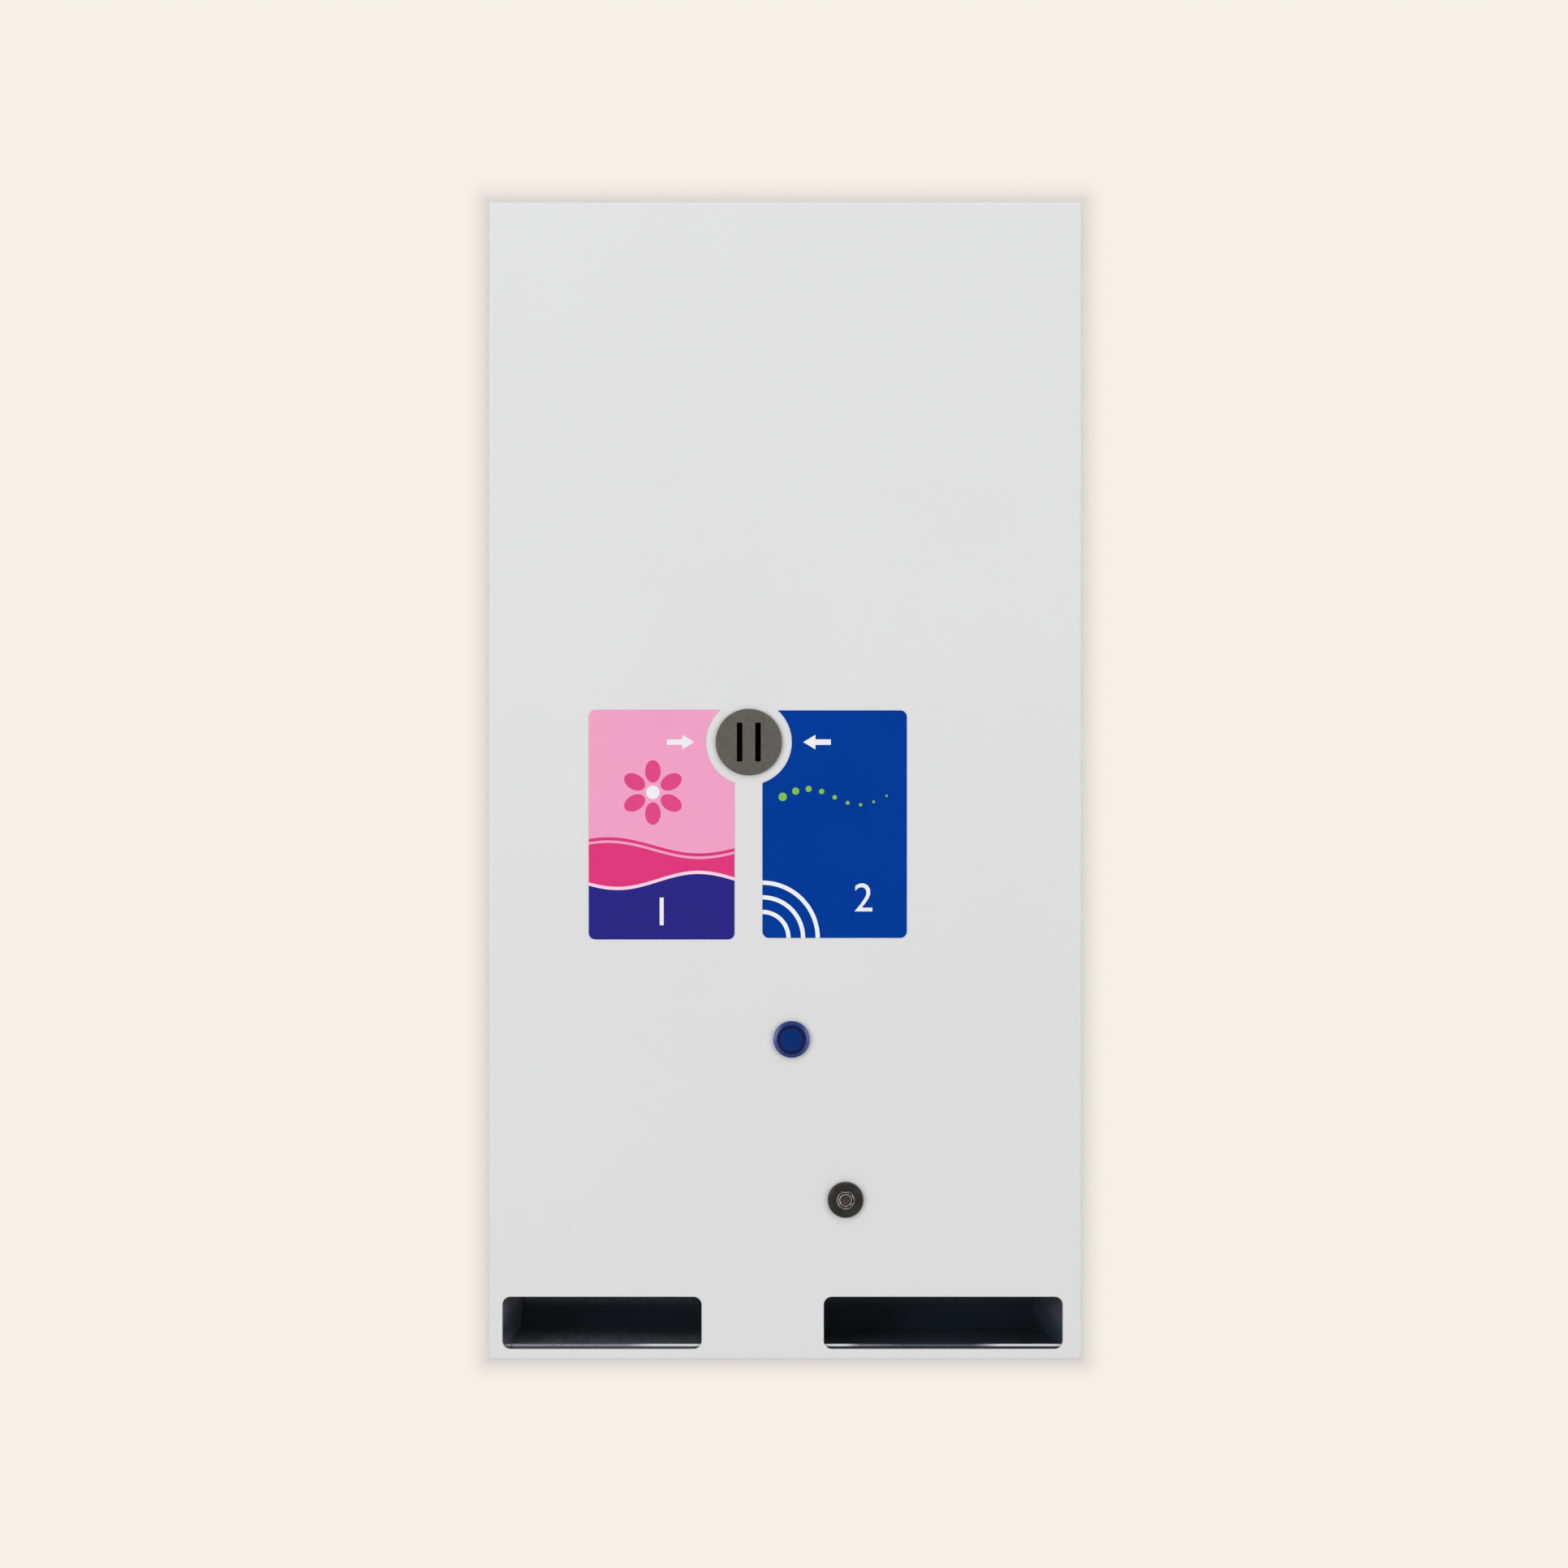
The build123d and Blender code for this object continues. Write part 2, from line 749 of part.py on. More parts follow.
def make_pinion(side):
    tooth = gear_tooth()
    outline = Circle(pitch_radius - root_share * gear_module)
    for count in range(pinion_teeth):
        outline += Rot(0, 0, 360 / pinion_teeth * count) * tooth
    x = rack_line(side)
    wheel_plane = Plane.YZ.offset(x - pinion_width / 2)
    gear = extrude(wheel_plane * (Pos(pinion_y, pinion_z) * outline), amount=pinion_width)
    hub_face = x + side * (pinion_width / 2 + pinion_hub_length)
    shaft_end = gearbox_face(side) + side * pinion_shaft_depth
    far_face = x - side * (pinion_width / 2 + pinion_hub_length)
    gear += cross_rod(pinion_hub_radius, far_face, hub_face)
    return gear + cross_rod(pinion_shaft_radius, far_face, shaft_end)


# A round bar along X through the pinion's centre
def cross_rod(radius, x_a, x_b):
    low, high = min(x_a, x_b), max(x_a, x_b)
    return extrude(Plane.YZ.offset(low) * (Pos(pinion_y, pinion_z) * Circle(radius)), amount=high - low)


def gearbox_face(side):
    return rack_line(side) + side * (guide_half + gearbox_gap)


def gearbox_front():
    return column_front + shelf_sheet + slide_gap


def motor_middle(side):
    return gearbox_face(side) + side * gearbox_width / 2


# Worm geared motor hung under the shelf
def make_motor(side):
    face = gearbox_face(side)
    front = gearbox_front()
    rear = front + gearbox_length
    box = block(face, face + side * gearbox_width, front, rear, shelf_under, 2 * pinion_z - shelf_under)
    box = chamfer(box.edges().filter_by(Axis.X), gearbox_edge)
    x = motor_middle(side)
    box += rod(motor_radius, x, pinion_z, rear, rear + motor_length)
    box += rod(motor_tail_radius, x, pinion_z, rear + motor_length, rear + motor_length + motor_tail_length)
    bore_end = face + side * (pinion_shaft_depth + slide_gap)
    return box - cross_rod(pinion_shaft_radius + press_step, face - side * cut_overrun, bore_end)


# Coin plate: a disc with two slots, a boss that fills the door's cut-out, and two studs
def coin_stud_places():
    return [coin_x - coin_stud_spacing / 2, coin_x + coin_stud_spacing / 2]


def coin_slot_places():
    return [coin_x - coin_slot_spacing / 2, coin_x + coin_slot_spacing / 2]


def make_coin_plate():
    face = door_face - coin_plate_thickness
    plate = rod(coin_plate_radius, coin_x, coin_z, face, door_face)
    plate = fillet(plate.edges().sort_by(Axis.Y)[0], coin_plate_edge)
    boss = Pos(coin_x, coin_z) * RectangleRounded(coin_boss_width, coin_boss_height, coin_boss_corner)
    plate += slab(boss, door_face, door_inside)
    for x in coin_slot_places():
        slot = Pos(x, coin_z) * RectangleRounded(coin_slot_width, coin_slot_height, coin_slot_corner)
        plate -= slab(slot, face - cut_overrun, door_inside + cut_overrun)
    stud_end = door_inside + mech_flange + coin_nut_height + coin_stud_tail
    for x in coin_stud_places():
        plate += rod(coin_stud_radius, x, coin_z, door_face, stud_end)
    return plate


def make_coin_plate_nuts():
    front = door_inside + mech_flange
    nuts = [hex_nut(coin_nut_flats, coin_stud_radius + press_step, x, coin_z, front, front + coin_nut_height)
            for x in coin_stud_places()]
    return Compound(children=nuts)


# Two coin channels run back from the slots, then straight down
def channel_outline():
    inner_front, inner_rear = chute_front + chute_sheet, chute_rear - chute_sheet
    top = coin_z + channel_height / 2
    return [(door_inside - cut_overrun, top), (door_inside, top), (inner_rear, top - channel_fall),
            (inner_rear, mech_bottom - cut_overrun), (inner_front, mech_bottom - cut_overrun),
            (inner_front, top - channel_height - channel_fall / 2), (door_inside, top - channel_height),
            (door_inside - cut_overrun, top - channel_height)]


def make_coin_mech_body():
    half = mech_width / 2
    body = block(coin_x - half, coin_x + half, door_inside, chute_rear, mech_bottom, mech_top)
    flange_half = mech_flange_width / 2
    flange = block(coin_x - flange_half, coin_x + flange_half, door_inside, door_inside + mech_flange,
                   coin_z - mech_flange_height / 2, coin_z + mech_flange_height / 2)
    body += flange
    for x in coin_slot_places():
        body -= side_slab(channel_outline(), x - channel_width / 2, x + channel_width / 2)
    for x in coin_stud_places():
        body -= rod(coin_stud_radius + press_step, x, coin_z, door_inside - cut_overrun,
                    door_inside + mech_flange + cut_overrun)
    return body


def make_coin_mech_covers():
    covers = []
    front, rear = door_inside + mech_front, chute_rear
    for hand in (-1, 1):
        face = coin_x + hand * mech_width / 2
        cover = block(face, face + hand * mech_cover, front, rear, mech_bottom, mech_top)
        for y in (front + mech_screw_inset, rear - mech_screw_inset):
            for z in (mech_bottom + mech_screw_inset, mech_top - mech_screw_inset):
                outer = face + hand * mech_cover
                ends = sorted((outer, outer + hand * mech_screw_head))
                head = Plane.YZ.offset(ends[0]) * (Pos(y, z) * Circle(mech_screw_radius))
                cover += extrude(head, amount=ends[1] - ends[0])
        covers.append(cover)
    return Compound(children=covers)


# Coin chute under the mechanism, with a side window to the return chute
def chute_sides():
    return coin_x - chute_half_width, coin_x + chute_half_width


def gate_centre():
    return coin_x, mech_bottom - gate_drop


def make_coin_chute():
    left, right = chute_sides()
    inner_depth = (chute_front + chute_sheet, chute_rear - chute_sheet)
    chute = block(left, right, chute_front, chute_rear, chute_bottom, mech_bottom)
    chute -= block(left + chute_sheet, right - chute_sheet, *inner_depth,
                   chute_bottom - cut_overrun, mech_bottom + cut_overrun)
    chute -= block(right - chute_sheet - cut_overrun, right + cut_overrun, *inner_depth,
                   mech_bottom - window_bottom_drop, mech_bottom - window_top_drop)
    x, z = gate_centre()
    start = (x + gate_pin_radius + spreader_gap, z - gate_pin_radius - spreader_gap)
    end = (right - chute_sheet, mech_bottom - window_bottom_drop)
    under = [(end[0], end[1] - chute_sheet), (start[0], start[1] - chute_sheet)]
    chute += slab(make_face(Polyline(start, end, *under, close=True)), *inner_depth)
    bore = gate_pin_radius + press_step
    return chute - rod(bore, x, z, chute_front - cut_overrun, chute_rear + cut_overrun)


# Gate flap and its pin, leaning to the return side so that coins fall to the cash box
def make_coin_gate():
    x, z = gate_centre()
    flap = Pos(0, gate_length / 2) * Rectangle(gate_sheet, gate_length)
    inside = (chute_front + chute_sheet + gate_side_gap, chute_rear - chute_sheet - gate_side_gap)
    gate = slab(Pos(x, z) * (Rot(0, 0, -gate_lean) * flap), *inside)
    return gate + rod(gate_pin_radius, x, z, chute_front - gate_pin_tail, chute_rear + gate_pin_tail)


def make_gate_solenoid():
    left = chute_sides()[0]
    middle = (chute_front + chute_rear) / 2
    top = mech_bottom - solenoid_drop
    coil = block(left - solenoid_width, left, middle - solenoid_depth / 2, middle + solenoid_depth / 2,
                 top - solenoid_height, top)
    return chamfer(coil.edges().filter_by(Axis.Z), solenoid_edge)


# Return chute: slants from the window to the right, then drops to the tampon tray
def make_coin_return_chute():
    left = chute_sides()[1]
    top, bottom = mech_bottom - window_top_drop, mech_bottom - window_bottom_drop
    foot = tray_top + return_foot_gap
    wall, over = chute_sheet, cut_overrun

    # The slanted stretch falls as far as it runs across
    def fall(start_z, x):
        return x, start_z - (x - left)

    outer_top, outer_bottom = top + wall, bottom - wall
    outer = [fall(outer_top, left), fall(outer_top, return_right), (return_right, foot),
             (return_left, foot), fall(outer_bottom, return_left), fall(outer_bottom, left)]
    inner_top, inner_bottom = outer_top - wall * sqrt(2), outer_bottom + wall * sqrt(2)
    inner_left, inner_right = return_left + wall, return_right - wall
    inner = [fall(inner_top, left - over), fall(inner_top, inner_right), (inner_right, foot - over),
             (inner_left, foot - over), fall(inner_bottom, inner_left), fall(inner_bottom, left - over)]
    chute = slab(make_face(Polyline(*outer, close=True)), chute_front, chute_rear)
    chute -= slab(make_face(Polyline(*inner, close=True)), chute_front + wall, chute_rear - wall)
    for drop in return_leg_drops:
        z = mech_bottom - drop
        ends = (return_left + return_leg_inset, return_right - return_leg_inset)
        chute += block(*ends, door_inside, chute_front, z, z - wall)
        chute += block(*ends, door_inside, door_inside + wall, z, z - return_leg_height)
    return chute


# Cash box with two hooks, and the rail on the door that they hang on
def rail_lip():
    return door_inside + rail_stand_off, door_inside + rail_stand_off + rail_sheet


def make_cash_box():
    rear = box_front + box_depth
    box = block(box_left, box_right, box_front, rear, box_bottom, box_top)
    box -= block(box_left + box_sheet, box_right - box_sheet, box_front + box_sheet, rear - box_sheet,
                 box_bottom + box_sheet, box_top + cut_overrun)
    lip_front = rail_lip()[0]
    lip_top = box_top - rail_depth_below_rim + rail_height
    tab_rear = lip_front - hook_gap
    for x in (box_left + hook_inset, box_right - hook_inset - hook_width):
        ends = (x, x + hook_width)
        over_lip = lip_top + hook_gap
        box += block(*ends, tab_rear - hook_sheet, box_front, over_lip, over_lip + hook_sheet)
        box += block(*ends, tab_rear - hook_sheet, tab_rear, over_lip - hook_drop, over_lip)
    return box


def make_cash_box_rail():
    bottom = box_top - rail_depth_below_rim
    left, right = box_left + rail_inset, box_right - rail_inset
    lip = rail_lip()
    rail = block(left, right, door_inside, door_inside + rail_sheet, bottom - rail_foot, bottom)
    rail += block(left, right, door_inside, lip[1], bottom - rail_sheet, bottom)
    return rail + block(left, right, *lip, bottom - rail_sheet, bottom + rail_height)


# Push button: bezel with a threaded barrel, nut, cap on a stem, spring and switch block
def button_floor_front():
    return door_face + button_barrel_length - button_floor


def make_button_bezel():
    face = door_face - bezel_thickness
    rim = door_face - bezel_rim
    slope = Cone(bezel_radius, bezel_recess_radius + bezel_crown, rim - face)
    bezel = rod(bezel_radius, button_x, button_z, rim, door_face)
    bezel += Pos(button_x, (face + rim) / 2, button_z) * (Rot(90, 0, 0) * slope)
    circles = bezel.edges().filter_by(GeomType.CIRCLE).sort_by(Axis.Y)
    bezel = fillet(circles[:2], bezel_edge)
    bezel += rod(button_barrel_radius, button_x, button_z, door_face, door_face + button_barrel_length)
    bezel -= rod(bezel_recess_radius, button_x, button_z, face - cut_overrun, face + bezel_recess)
    bezel -= rod(cap_radius + cap_gap, button_x, button_z, face - cut_overrun, button_floor_front())
    end = door_face + button_barrel_length + cut_overrun
    return bezel - rod(cap_stem_radius + cap_gap, button_x, button_z, face, end)


def cap_face():
    return door_face - bezel_thickness - cap_stand


def make_button_cap():
    face = cap_face()
    rear = face + cap_length
    cap = rod(cap_radius, button_x, button_z, face, rear)
    cap = fillet(cap.edges().sort_by(Axis.Y)[0], cap_edge)
    cap -= rod(cap_dish_radius, button_x, button_z, face - cut_overrun, face + cap_dish)
    return cap + rod(cap_stem_radius, button_x, button_z, rear, rear + cap_stem_length)


# Return spring: half turns of wire, each rising along the stem
def make_button_spring():
    start = cap_face() + cap_length + spring_end_gap + spring_wire
    length = button_floor_front() - spring_end_gap - spring_wire - start
    wire_path = Helix(length / spring_turns, length, spring_radius, center=(0, 0, 0), direction=(0, 0, 1))
    section = Plane(wire_path @ 0, z_dir=wire_path % 0) * Circle(spring_wire)
    coil = sweep(section, path=wire_path, is_frenet=True)
    return Pos(button_x, start, button_z) * (Rot(-90, 0, 0) * coil)


def make_button_nut():
    return hex_nut(button_nut_flats, button_barrel_radius + press_step, button_x, button_z,
                   door_inside, door_inside + button_nut_height)


def make_button_switch():
    front = door_face + button_barrel_length
    block_x, block_z = switch_width / 2, switch_height / 2
    body = block(button_x - block_x, button_x + block_x, front, front + switch_length,
                 button_z - block_z, button_z + block_z)
    bore = cap_stem_radius + cap_gap
    return body - rod(bore, button_x, button_z, front - cut_overrun, front + switch_bore_depth)


def make_switch_terminals():
    front = door_face + button_barrel_length + switch_length
    blades = []
    for across in (-1, 1):
        for up in (-1, 1):
            x, z = button_x + across * terminal_spacing / 2, button_z + up * terminal_spacing / 2
            blades.append(block(x - terminal_sheet / 2, x + terminal_sheet / 2,
                                front, front + terminal_length,
                                z - terminal_width / 2, z + terminal_width / 2))
    return Compound(children=blades)


# Tubular lock: body, nut, turning plug with its ring groove, cam and cam screw
def make_lock_body():
    face = door_face - lock_head
    body = rod(lock_head_radius, lock_x, lock_z, face, door_face)
    body = fillet(body.edges().sort_by(Axis.Y)[0], lock_head_edge)
    body += rod(lock_barrel_radius, lock_x, lock_z, door_face, cam_front - slide_gap)
    body -= rod(lock_throat_radius, lock_x, lock_z, face - cut_overrun, face + lock_throat)
    return body - rod(plug_radius + press_step, lock_x, lock_z, face - cut_overrun, cam_front + cut_overrun)


def make_lock_nut():
    return hex_nut(lock_nut_flats, lock_barrel_radius + press_step, lock_x, lock_z,
                   door_inside, door_inside + lock_nut_height)


def make_lock_plug():
    face = door_face - lock_head + press_step
    plug = rod(plug_radius, lock_x, lock_z, face, cam_front)
    groove = slab(Pos(lock_x, lock_z) * (Circle(plug_groove_outer) - Circle(plug_groove_inner)),
                  face - cut_overrun, face + plug_groove_depth)
    plug -= groove
    plug -= block(lock_x - plug_notch / 2, lock_x + plug_notch / 2,
                  face - cut_overrun, face + plug_groove_depth,
                  lock_z + plug_groove_inner, lock_z + plug_radius + cut_overrun)
    ring = (plug_groove_inner + plug_groove_outer) / 2
    for count in range(plug_pin_count):
        turn = 2 * pi * (count + 1 / 2) / plug_pin_count
        plug += rod(plug_pin_radius, lock_x + ring * sin(turn), lock_z + ring * cos(turn),
                    face + plug_pin_sink, face + plug_groove_depth)
    half = plug_square / 2
    plug += block(lock_x - half, lock_x + half, cam_front, cam_back, lock_z - half, lock_z + half)
    thread_end = cam_back - cam_screw_shank
    return plug - rod(cam_screw_shank_radius, lock_x, lock_z, thread_end, cam_back + cut_overrun)


def make_lock_cam():
    half = cam_width / 2
    outline = Circle(half + cam_sheet)
    outline += Pos(0, (half - cam_reach) / 2) * Rectangle(cam_width, cam_reach - half)
    outline += Pos(0, half - cam_reach) * Circle(half)
    outline -= Rectangle(plug_square, plug_square)
    return slab(Pos(lock_x, lock_z) * outline, cam_front, cam_back)


def make_cam_screw():
    screw = rod(cam_screw_radius, lock_x, lock_z, cam_back, cam_back + cam_screw_head)
    screw = fillet(screw.edges().sort_by(Axis.Y)[-1], cam_edge)
    return screw + rod(cam_screw_shank_radius, lock_x, lock_z, cam_back - cam_screw_shank, cam_back)


# Strike: a plate on the tampon column whose lip hangs in front of the cam when it is turned
def make_lock_strike():
    column_face = centre_bay / 2
    left = column_face - strike_sheet
    bottom = lock_z + cam_width / 2 + strike_over_cam
    top = bottom + strike_height
    lip_rear = cam_front - strike_play
    strike = block(left, column_face, lip_rear - strike_sheet, column_front + strike_tail, bottom, top)
    return strike + block(left, left + strike_lip_width, lip_rear - strike_sheet, lip_rear,
                          lock_z - strike_below_lock, top)


# Control board on four spacers, with its relays, capacitors, chips and terminal strip
def make_control_board():
    half = board_width / 2
    return block(-half, half, board_front, board_front + board_sheet,
                 board_bottom, board_bottom + board_height)


def make_board_spacers():
    x = board_width / 2 - board_hole_inset
    levels = (board_bottom + board_hole_inset, board_bottom + board_height - board_hole_inset)
    posts = [rod(board_spacer_radius, across * x, z, board_front + board_sheet, back_inside)
             for across in (-1, 1) for z in levels]
    return Compound(children=posts)


def make_board_relays():
    top = board_bottom + board_height - relay_drop
    relays = []
    for count in range(relay_count):
        x = (count - (relay_count - 1) / 2) * relay_spacing
        relay = block(x - relay_width / 2, x + relay_width / 2, board_front - relay_depth, board_front,
                      top - relay_height, top)
        relays.append(chamfer(relay.faces().sort_by(Axis.Y)[0].edges(), relay_edge))
    return Compound(children=relays)


def make_board_capacitors():
    z = board_bottom + board_height - capacitor_drop
    cans = []
    for count in (-1, 0, 1):
        x = count * capacitor_spacing - capacitor_spacing
        can = rod(capacitor_radius, x, z, board_front - capacitor_length, board_front)
        cans.append(fillet(can.edges().sort_by(Axis.Y)[0], capacitor_edge))
    return Compound(children=cans)


def make_board_chips():
    top = board_bottom + board_height - chip_drop
    chips = [block(x - chip_width / 2, x + chip_width / 2, board_front - chip_depth, board_front,
                   top - chip_height + chip_width, top + chip_width)
             for x in (chip_offset, chip_offset + chip_width + capacitor_edge)]
    return Compound(children=chips)


def make_board_terminals():
    half = terminal_strip_width / 2
    low = board_bottom
    face, middle = board_front - terminal_strip_depth, low + terminal_strip_height / 2
    strip = block(-half, half, face, board_front, low, low + terminal_strip_height)
    pitch = terminal_strip_width / terminal_poles
    for count in range(terminal_poles):
        x = -half + (count + 1 / 2) * pitch
        strip -= block(x - terminal_mouth / 2, x + terminal_mouth / 2,
                       face - cut_overrun, face + terminal_mouth_depth,
                       middle - terminal_mouth / 2, middle + terminal_mouth / 2)
    return strip


# Battery holder with four cells, two beside two, their ends turned about
def holder_size():
    width = 4 * cell_radius + 3 * cell_gap + 2 * holder_wall
    height = 2 * (cell_length + cell_nub) + 3 * cell_gap + 2 * holder_wall
    return width, height


def make_battery_holder():
    width, height = holder_size()
    face, top = back_inside - holder_depth, battery_bottom + height
    holder = block(-width / 2, width / 2, face, back_inside, battery_bottom, top)
    return holder - block(-width / 2 + holder_wall, width / 2 - holder_wall,
                          face - cut_overrun, back_inside - holder_base,
                          battery_bottom + holder_wall, top - holder_wall)


def make_battery_cells():
    cells = []
    y = back_inside - holder_base - slide_gap - cell_radius
    pitch = cell_length + cell_nub + cell_gap
    for column, x in enumerate((-cell_radius - cell_gap / 2, cell_radius + cell_gap / 2)):
        for row in range(2):
            low = battery_bottom + holder_wall + cell_gap + row * pitch
            body_low = low if column else low + cell_nub
            nub_low = body_low + cell_length if column else low
            cell = upright_rod(cell_radius, x, y, body_low, body_low + cell_length)
            cell = fillet(cell.edges().filter_by(GeomType.CIRCLE), cell_edge)
            cells.append(cell + upright_rod(cell_nub_radius, x, y, nub_low, nub_low + cell_nub))
    return Compound(children=cells)


# Cable loom: a lead down to the battery, and one round each side of it to the motors
def make_cable_loom():
    top = board_bottom - press_step
    holder_top = battery_bottom + holder_size()[1]
    leads = [upright_rod(loom_radius, 0, -loom_depth, holder_top + press_step, top)]
    low = floor_top + loom_floor_gap
    for side in (-1, 1):
        end_x = motor_middle(side)
        end_z = pinion_z - motor_radius - press_step
        points = [(side * loom_start, -loom_depth, top), (side * loom_start, -loom_depth, top - loom_drop),
                  (side * loom_side, -loom_depth, top - 2 * loom_drop), (side * loom_side, -loom_depth, low),
                  (end_x, -loom_depth, low), (end_x, -loom_depth, end_z)]
        route = FilletPolyline(*points, radius=loom_bend)
        section = Plane(route @ 0, z_dir=route % 0) * Circle(loom_radius)
        leads.append(sweep(section, path=route))
        print("lead", round(leads[-1].volume / (pi * loom_radius**2 * route.length), 4))
    return Compound(children=leads)


# A label: a rounded sheet with a bite round the coin plate
def make_label(near_side, gap, width, height, top):
    near = coin_x + near_side * gap
    far = near + near_side * width
    low, high = min(near, far), max(near, far)
    sheet = rounded(low, high, coin_z + top - height, coin_z + top, label_corner)
    sheet -= Pos(coin_x, coin_z) * Circle(label_cut_radius)
    return slab(sheet, door_face - label_sheet, door_face)


os.makedirs("parts", exist_ok=True)
keep("back_casing", make_back_casing())
keep("door_buffers", make_door_buffers())
keep("casing_hinge_leaf", make_casing_hinge_leaf())
keep("hinge_pin", make_hinge_pin())
keep("column_screws", make_column_screws())
keep("lock_strike", make_lock_strike())
keep("control_board", make_control_board())
keep("board_spacers", make_board_spacers())
keep("board_relays", make_board_relays())
keep("board_capacitors", make_board_capacitors())
keep("board_chips", make_board_chips())
keep("board_terminals", make_board_terminals())
keep("battery_holder", make_battery_holder())
keep("battery_cells", make_battery_cells())
keep("cable_loom", make_cable_loom())

towel_drafts = (towel_tray_draft, tray_inner_draft)
tampon_drafts = (tray_inner_draft, tampon_tray_draft)
for product, ends, mouth, drafts, side in (
        ("towel", towel_column_ends, towel_mouth, towel_drafts, -1),
        ("tampon", tampon_column_ends, tampon_mouth, tampon_drafts, 1)):
    keep(product + "_column", make_column(ends))
    keep(product + "_shelf", make_shelf(ends, side))
    keep(product + "_tray", make_tray(mouth, drafts))
    keep(product + "_motor", make_motor(side))
    keep(product + "_rack_guides", make_rack_guides(side))
    keep(product + "_ejector", make_ejector(ends, side))
    keep(product + "_pinion", make_pinion(side))
    keep(product + "_follower", make_follower(ends))
    keep(product + "_weight", make_follower_weight(ends))

keep("front_door", make_front_door())
keep("door_hinge_leaf", make_door_hinge_leaf())
keep("towel_label", make_label(-1, towel_label_gap, towel_label_width,
                               towel_label_height, towel_label_top))
keep("tampon_label", make_label(1, tampon_label_gap, tampon_label_width,
                                tampon_label_height, tampon_label_top))
keep("coin_plate", make_coin_plate())
keep("coin_plate_nuts", make_coin_plate_nuts())
keep("coin_mech_body", make_coin_mech_body())
keep("coin_mech_covers", make_coin_mech_covers())
keep("coin_chute", make_coin_chute())
keep("coin_gate", make_coin_gate())
keep("gate_solenoid", make_gate_solenoid())
keep("coin_return_chute", make_coin_return_chute())
keep("cash_box", make_cash_box())
keep("cash_box_rail", make_cash_box_rail())
keep("button_bezel", make_button_bezel())
keep("button_nut", make_button_nut())
keep("button_cap", make_button_cap())
keep("button_spring", make_button_spring())
keep("button_switch", make_button_switch())
keep("switch_terminals", make_switch_terminals())
keep("lock_body", make_lock_body())
keep("lock_nut", make_lock_nut())
keep("lock_plug", make_lock_plug())
keep("lock_cam", make_lock_cam())
keep("cam_screw", make_cam_screw())
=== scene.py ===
from functools import partialmethod
from math import cos, pi, sin
import bmesh
import bpy
from mathutils import Matrix, Vector


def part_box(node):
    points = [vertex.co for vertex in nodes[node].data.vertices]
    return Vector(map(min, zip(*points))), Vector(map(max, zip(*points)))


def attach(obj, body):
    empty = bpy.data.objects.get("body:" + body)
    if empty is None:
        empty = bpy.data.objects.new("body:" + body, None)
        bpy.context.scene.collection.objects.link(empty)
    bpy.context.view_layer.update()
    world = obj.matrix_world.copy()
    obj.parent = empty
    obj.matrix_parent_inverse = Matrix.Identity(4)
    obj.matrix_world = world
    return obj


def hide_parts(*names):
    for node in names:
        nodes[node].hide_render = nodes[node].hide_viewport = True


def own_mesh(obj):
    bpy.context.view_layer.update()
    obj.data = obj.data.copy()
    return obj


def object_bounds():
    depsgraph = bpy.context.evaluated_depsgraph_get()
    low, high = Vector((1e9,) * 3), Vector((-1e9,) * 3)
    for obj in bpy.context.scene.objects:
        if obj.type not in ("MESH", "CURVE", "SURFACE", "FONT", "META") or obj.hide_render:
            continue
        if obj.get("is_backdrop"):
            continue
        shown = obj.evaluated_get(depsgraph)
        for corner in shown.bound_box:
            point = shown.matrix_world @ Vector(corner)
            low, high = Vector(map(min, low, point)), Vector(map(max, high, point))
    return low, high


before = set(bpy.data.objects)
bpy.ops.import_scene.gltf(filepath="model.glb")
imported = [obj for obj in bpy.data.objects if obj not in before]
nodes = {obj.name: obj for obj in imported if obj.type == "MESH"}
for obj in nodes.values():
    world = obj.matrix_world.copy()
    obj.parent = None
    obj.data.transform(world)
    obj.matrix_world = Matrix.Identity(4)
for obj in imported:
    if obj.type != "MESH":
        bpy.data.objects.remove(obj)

cadLow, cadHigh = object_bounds()
mm = 0.001  # Blender works in metres, sizes below are written in millimetres
toFront, toBack, upwards = (0, -1, 0), (0, 1, 0), (0, 0, 1)
square = ((-1, -1), (1, -1), (1, 1), (-1, 1))
print("frame loaded:", len(nodes), "nodes")


def spot(*place):
    return tuple(value * mm for value in place)


# The two corners of a CAD node and its middle, in millimetres
def corners(node):
    low, high = (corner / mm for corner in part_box(node))
    return low, high, (low + high) / 2


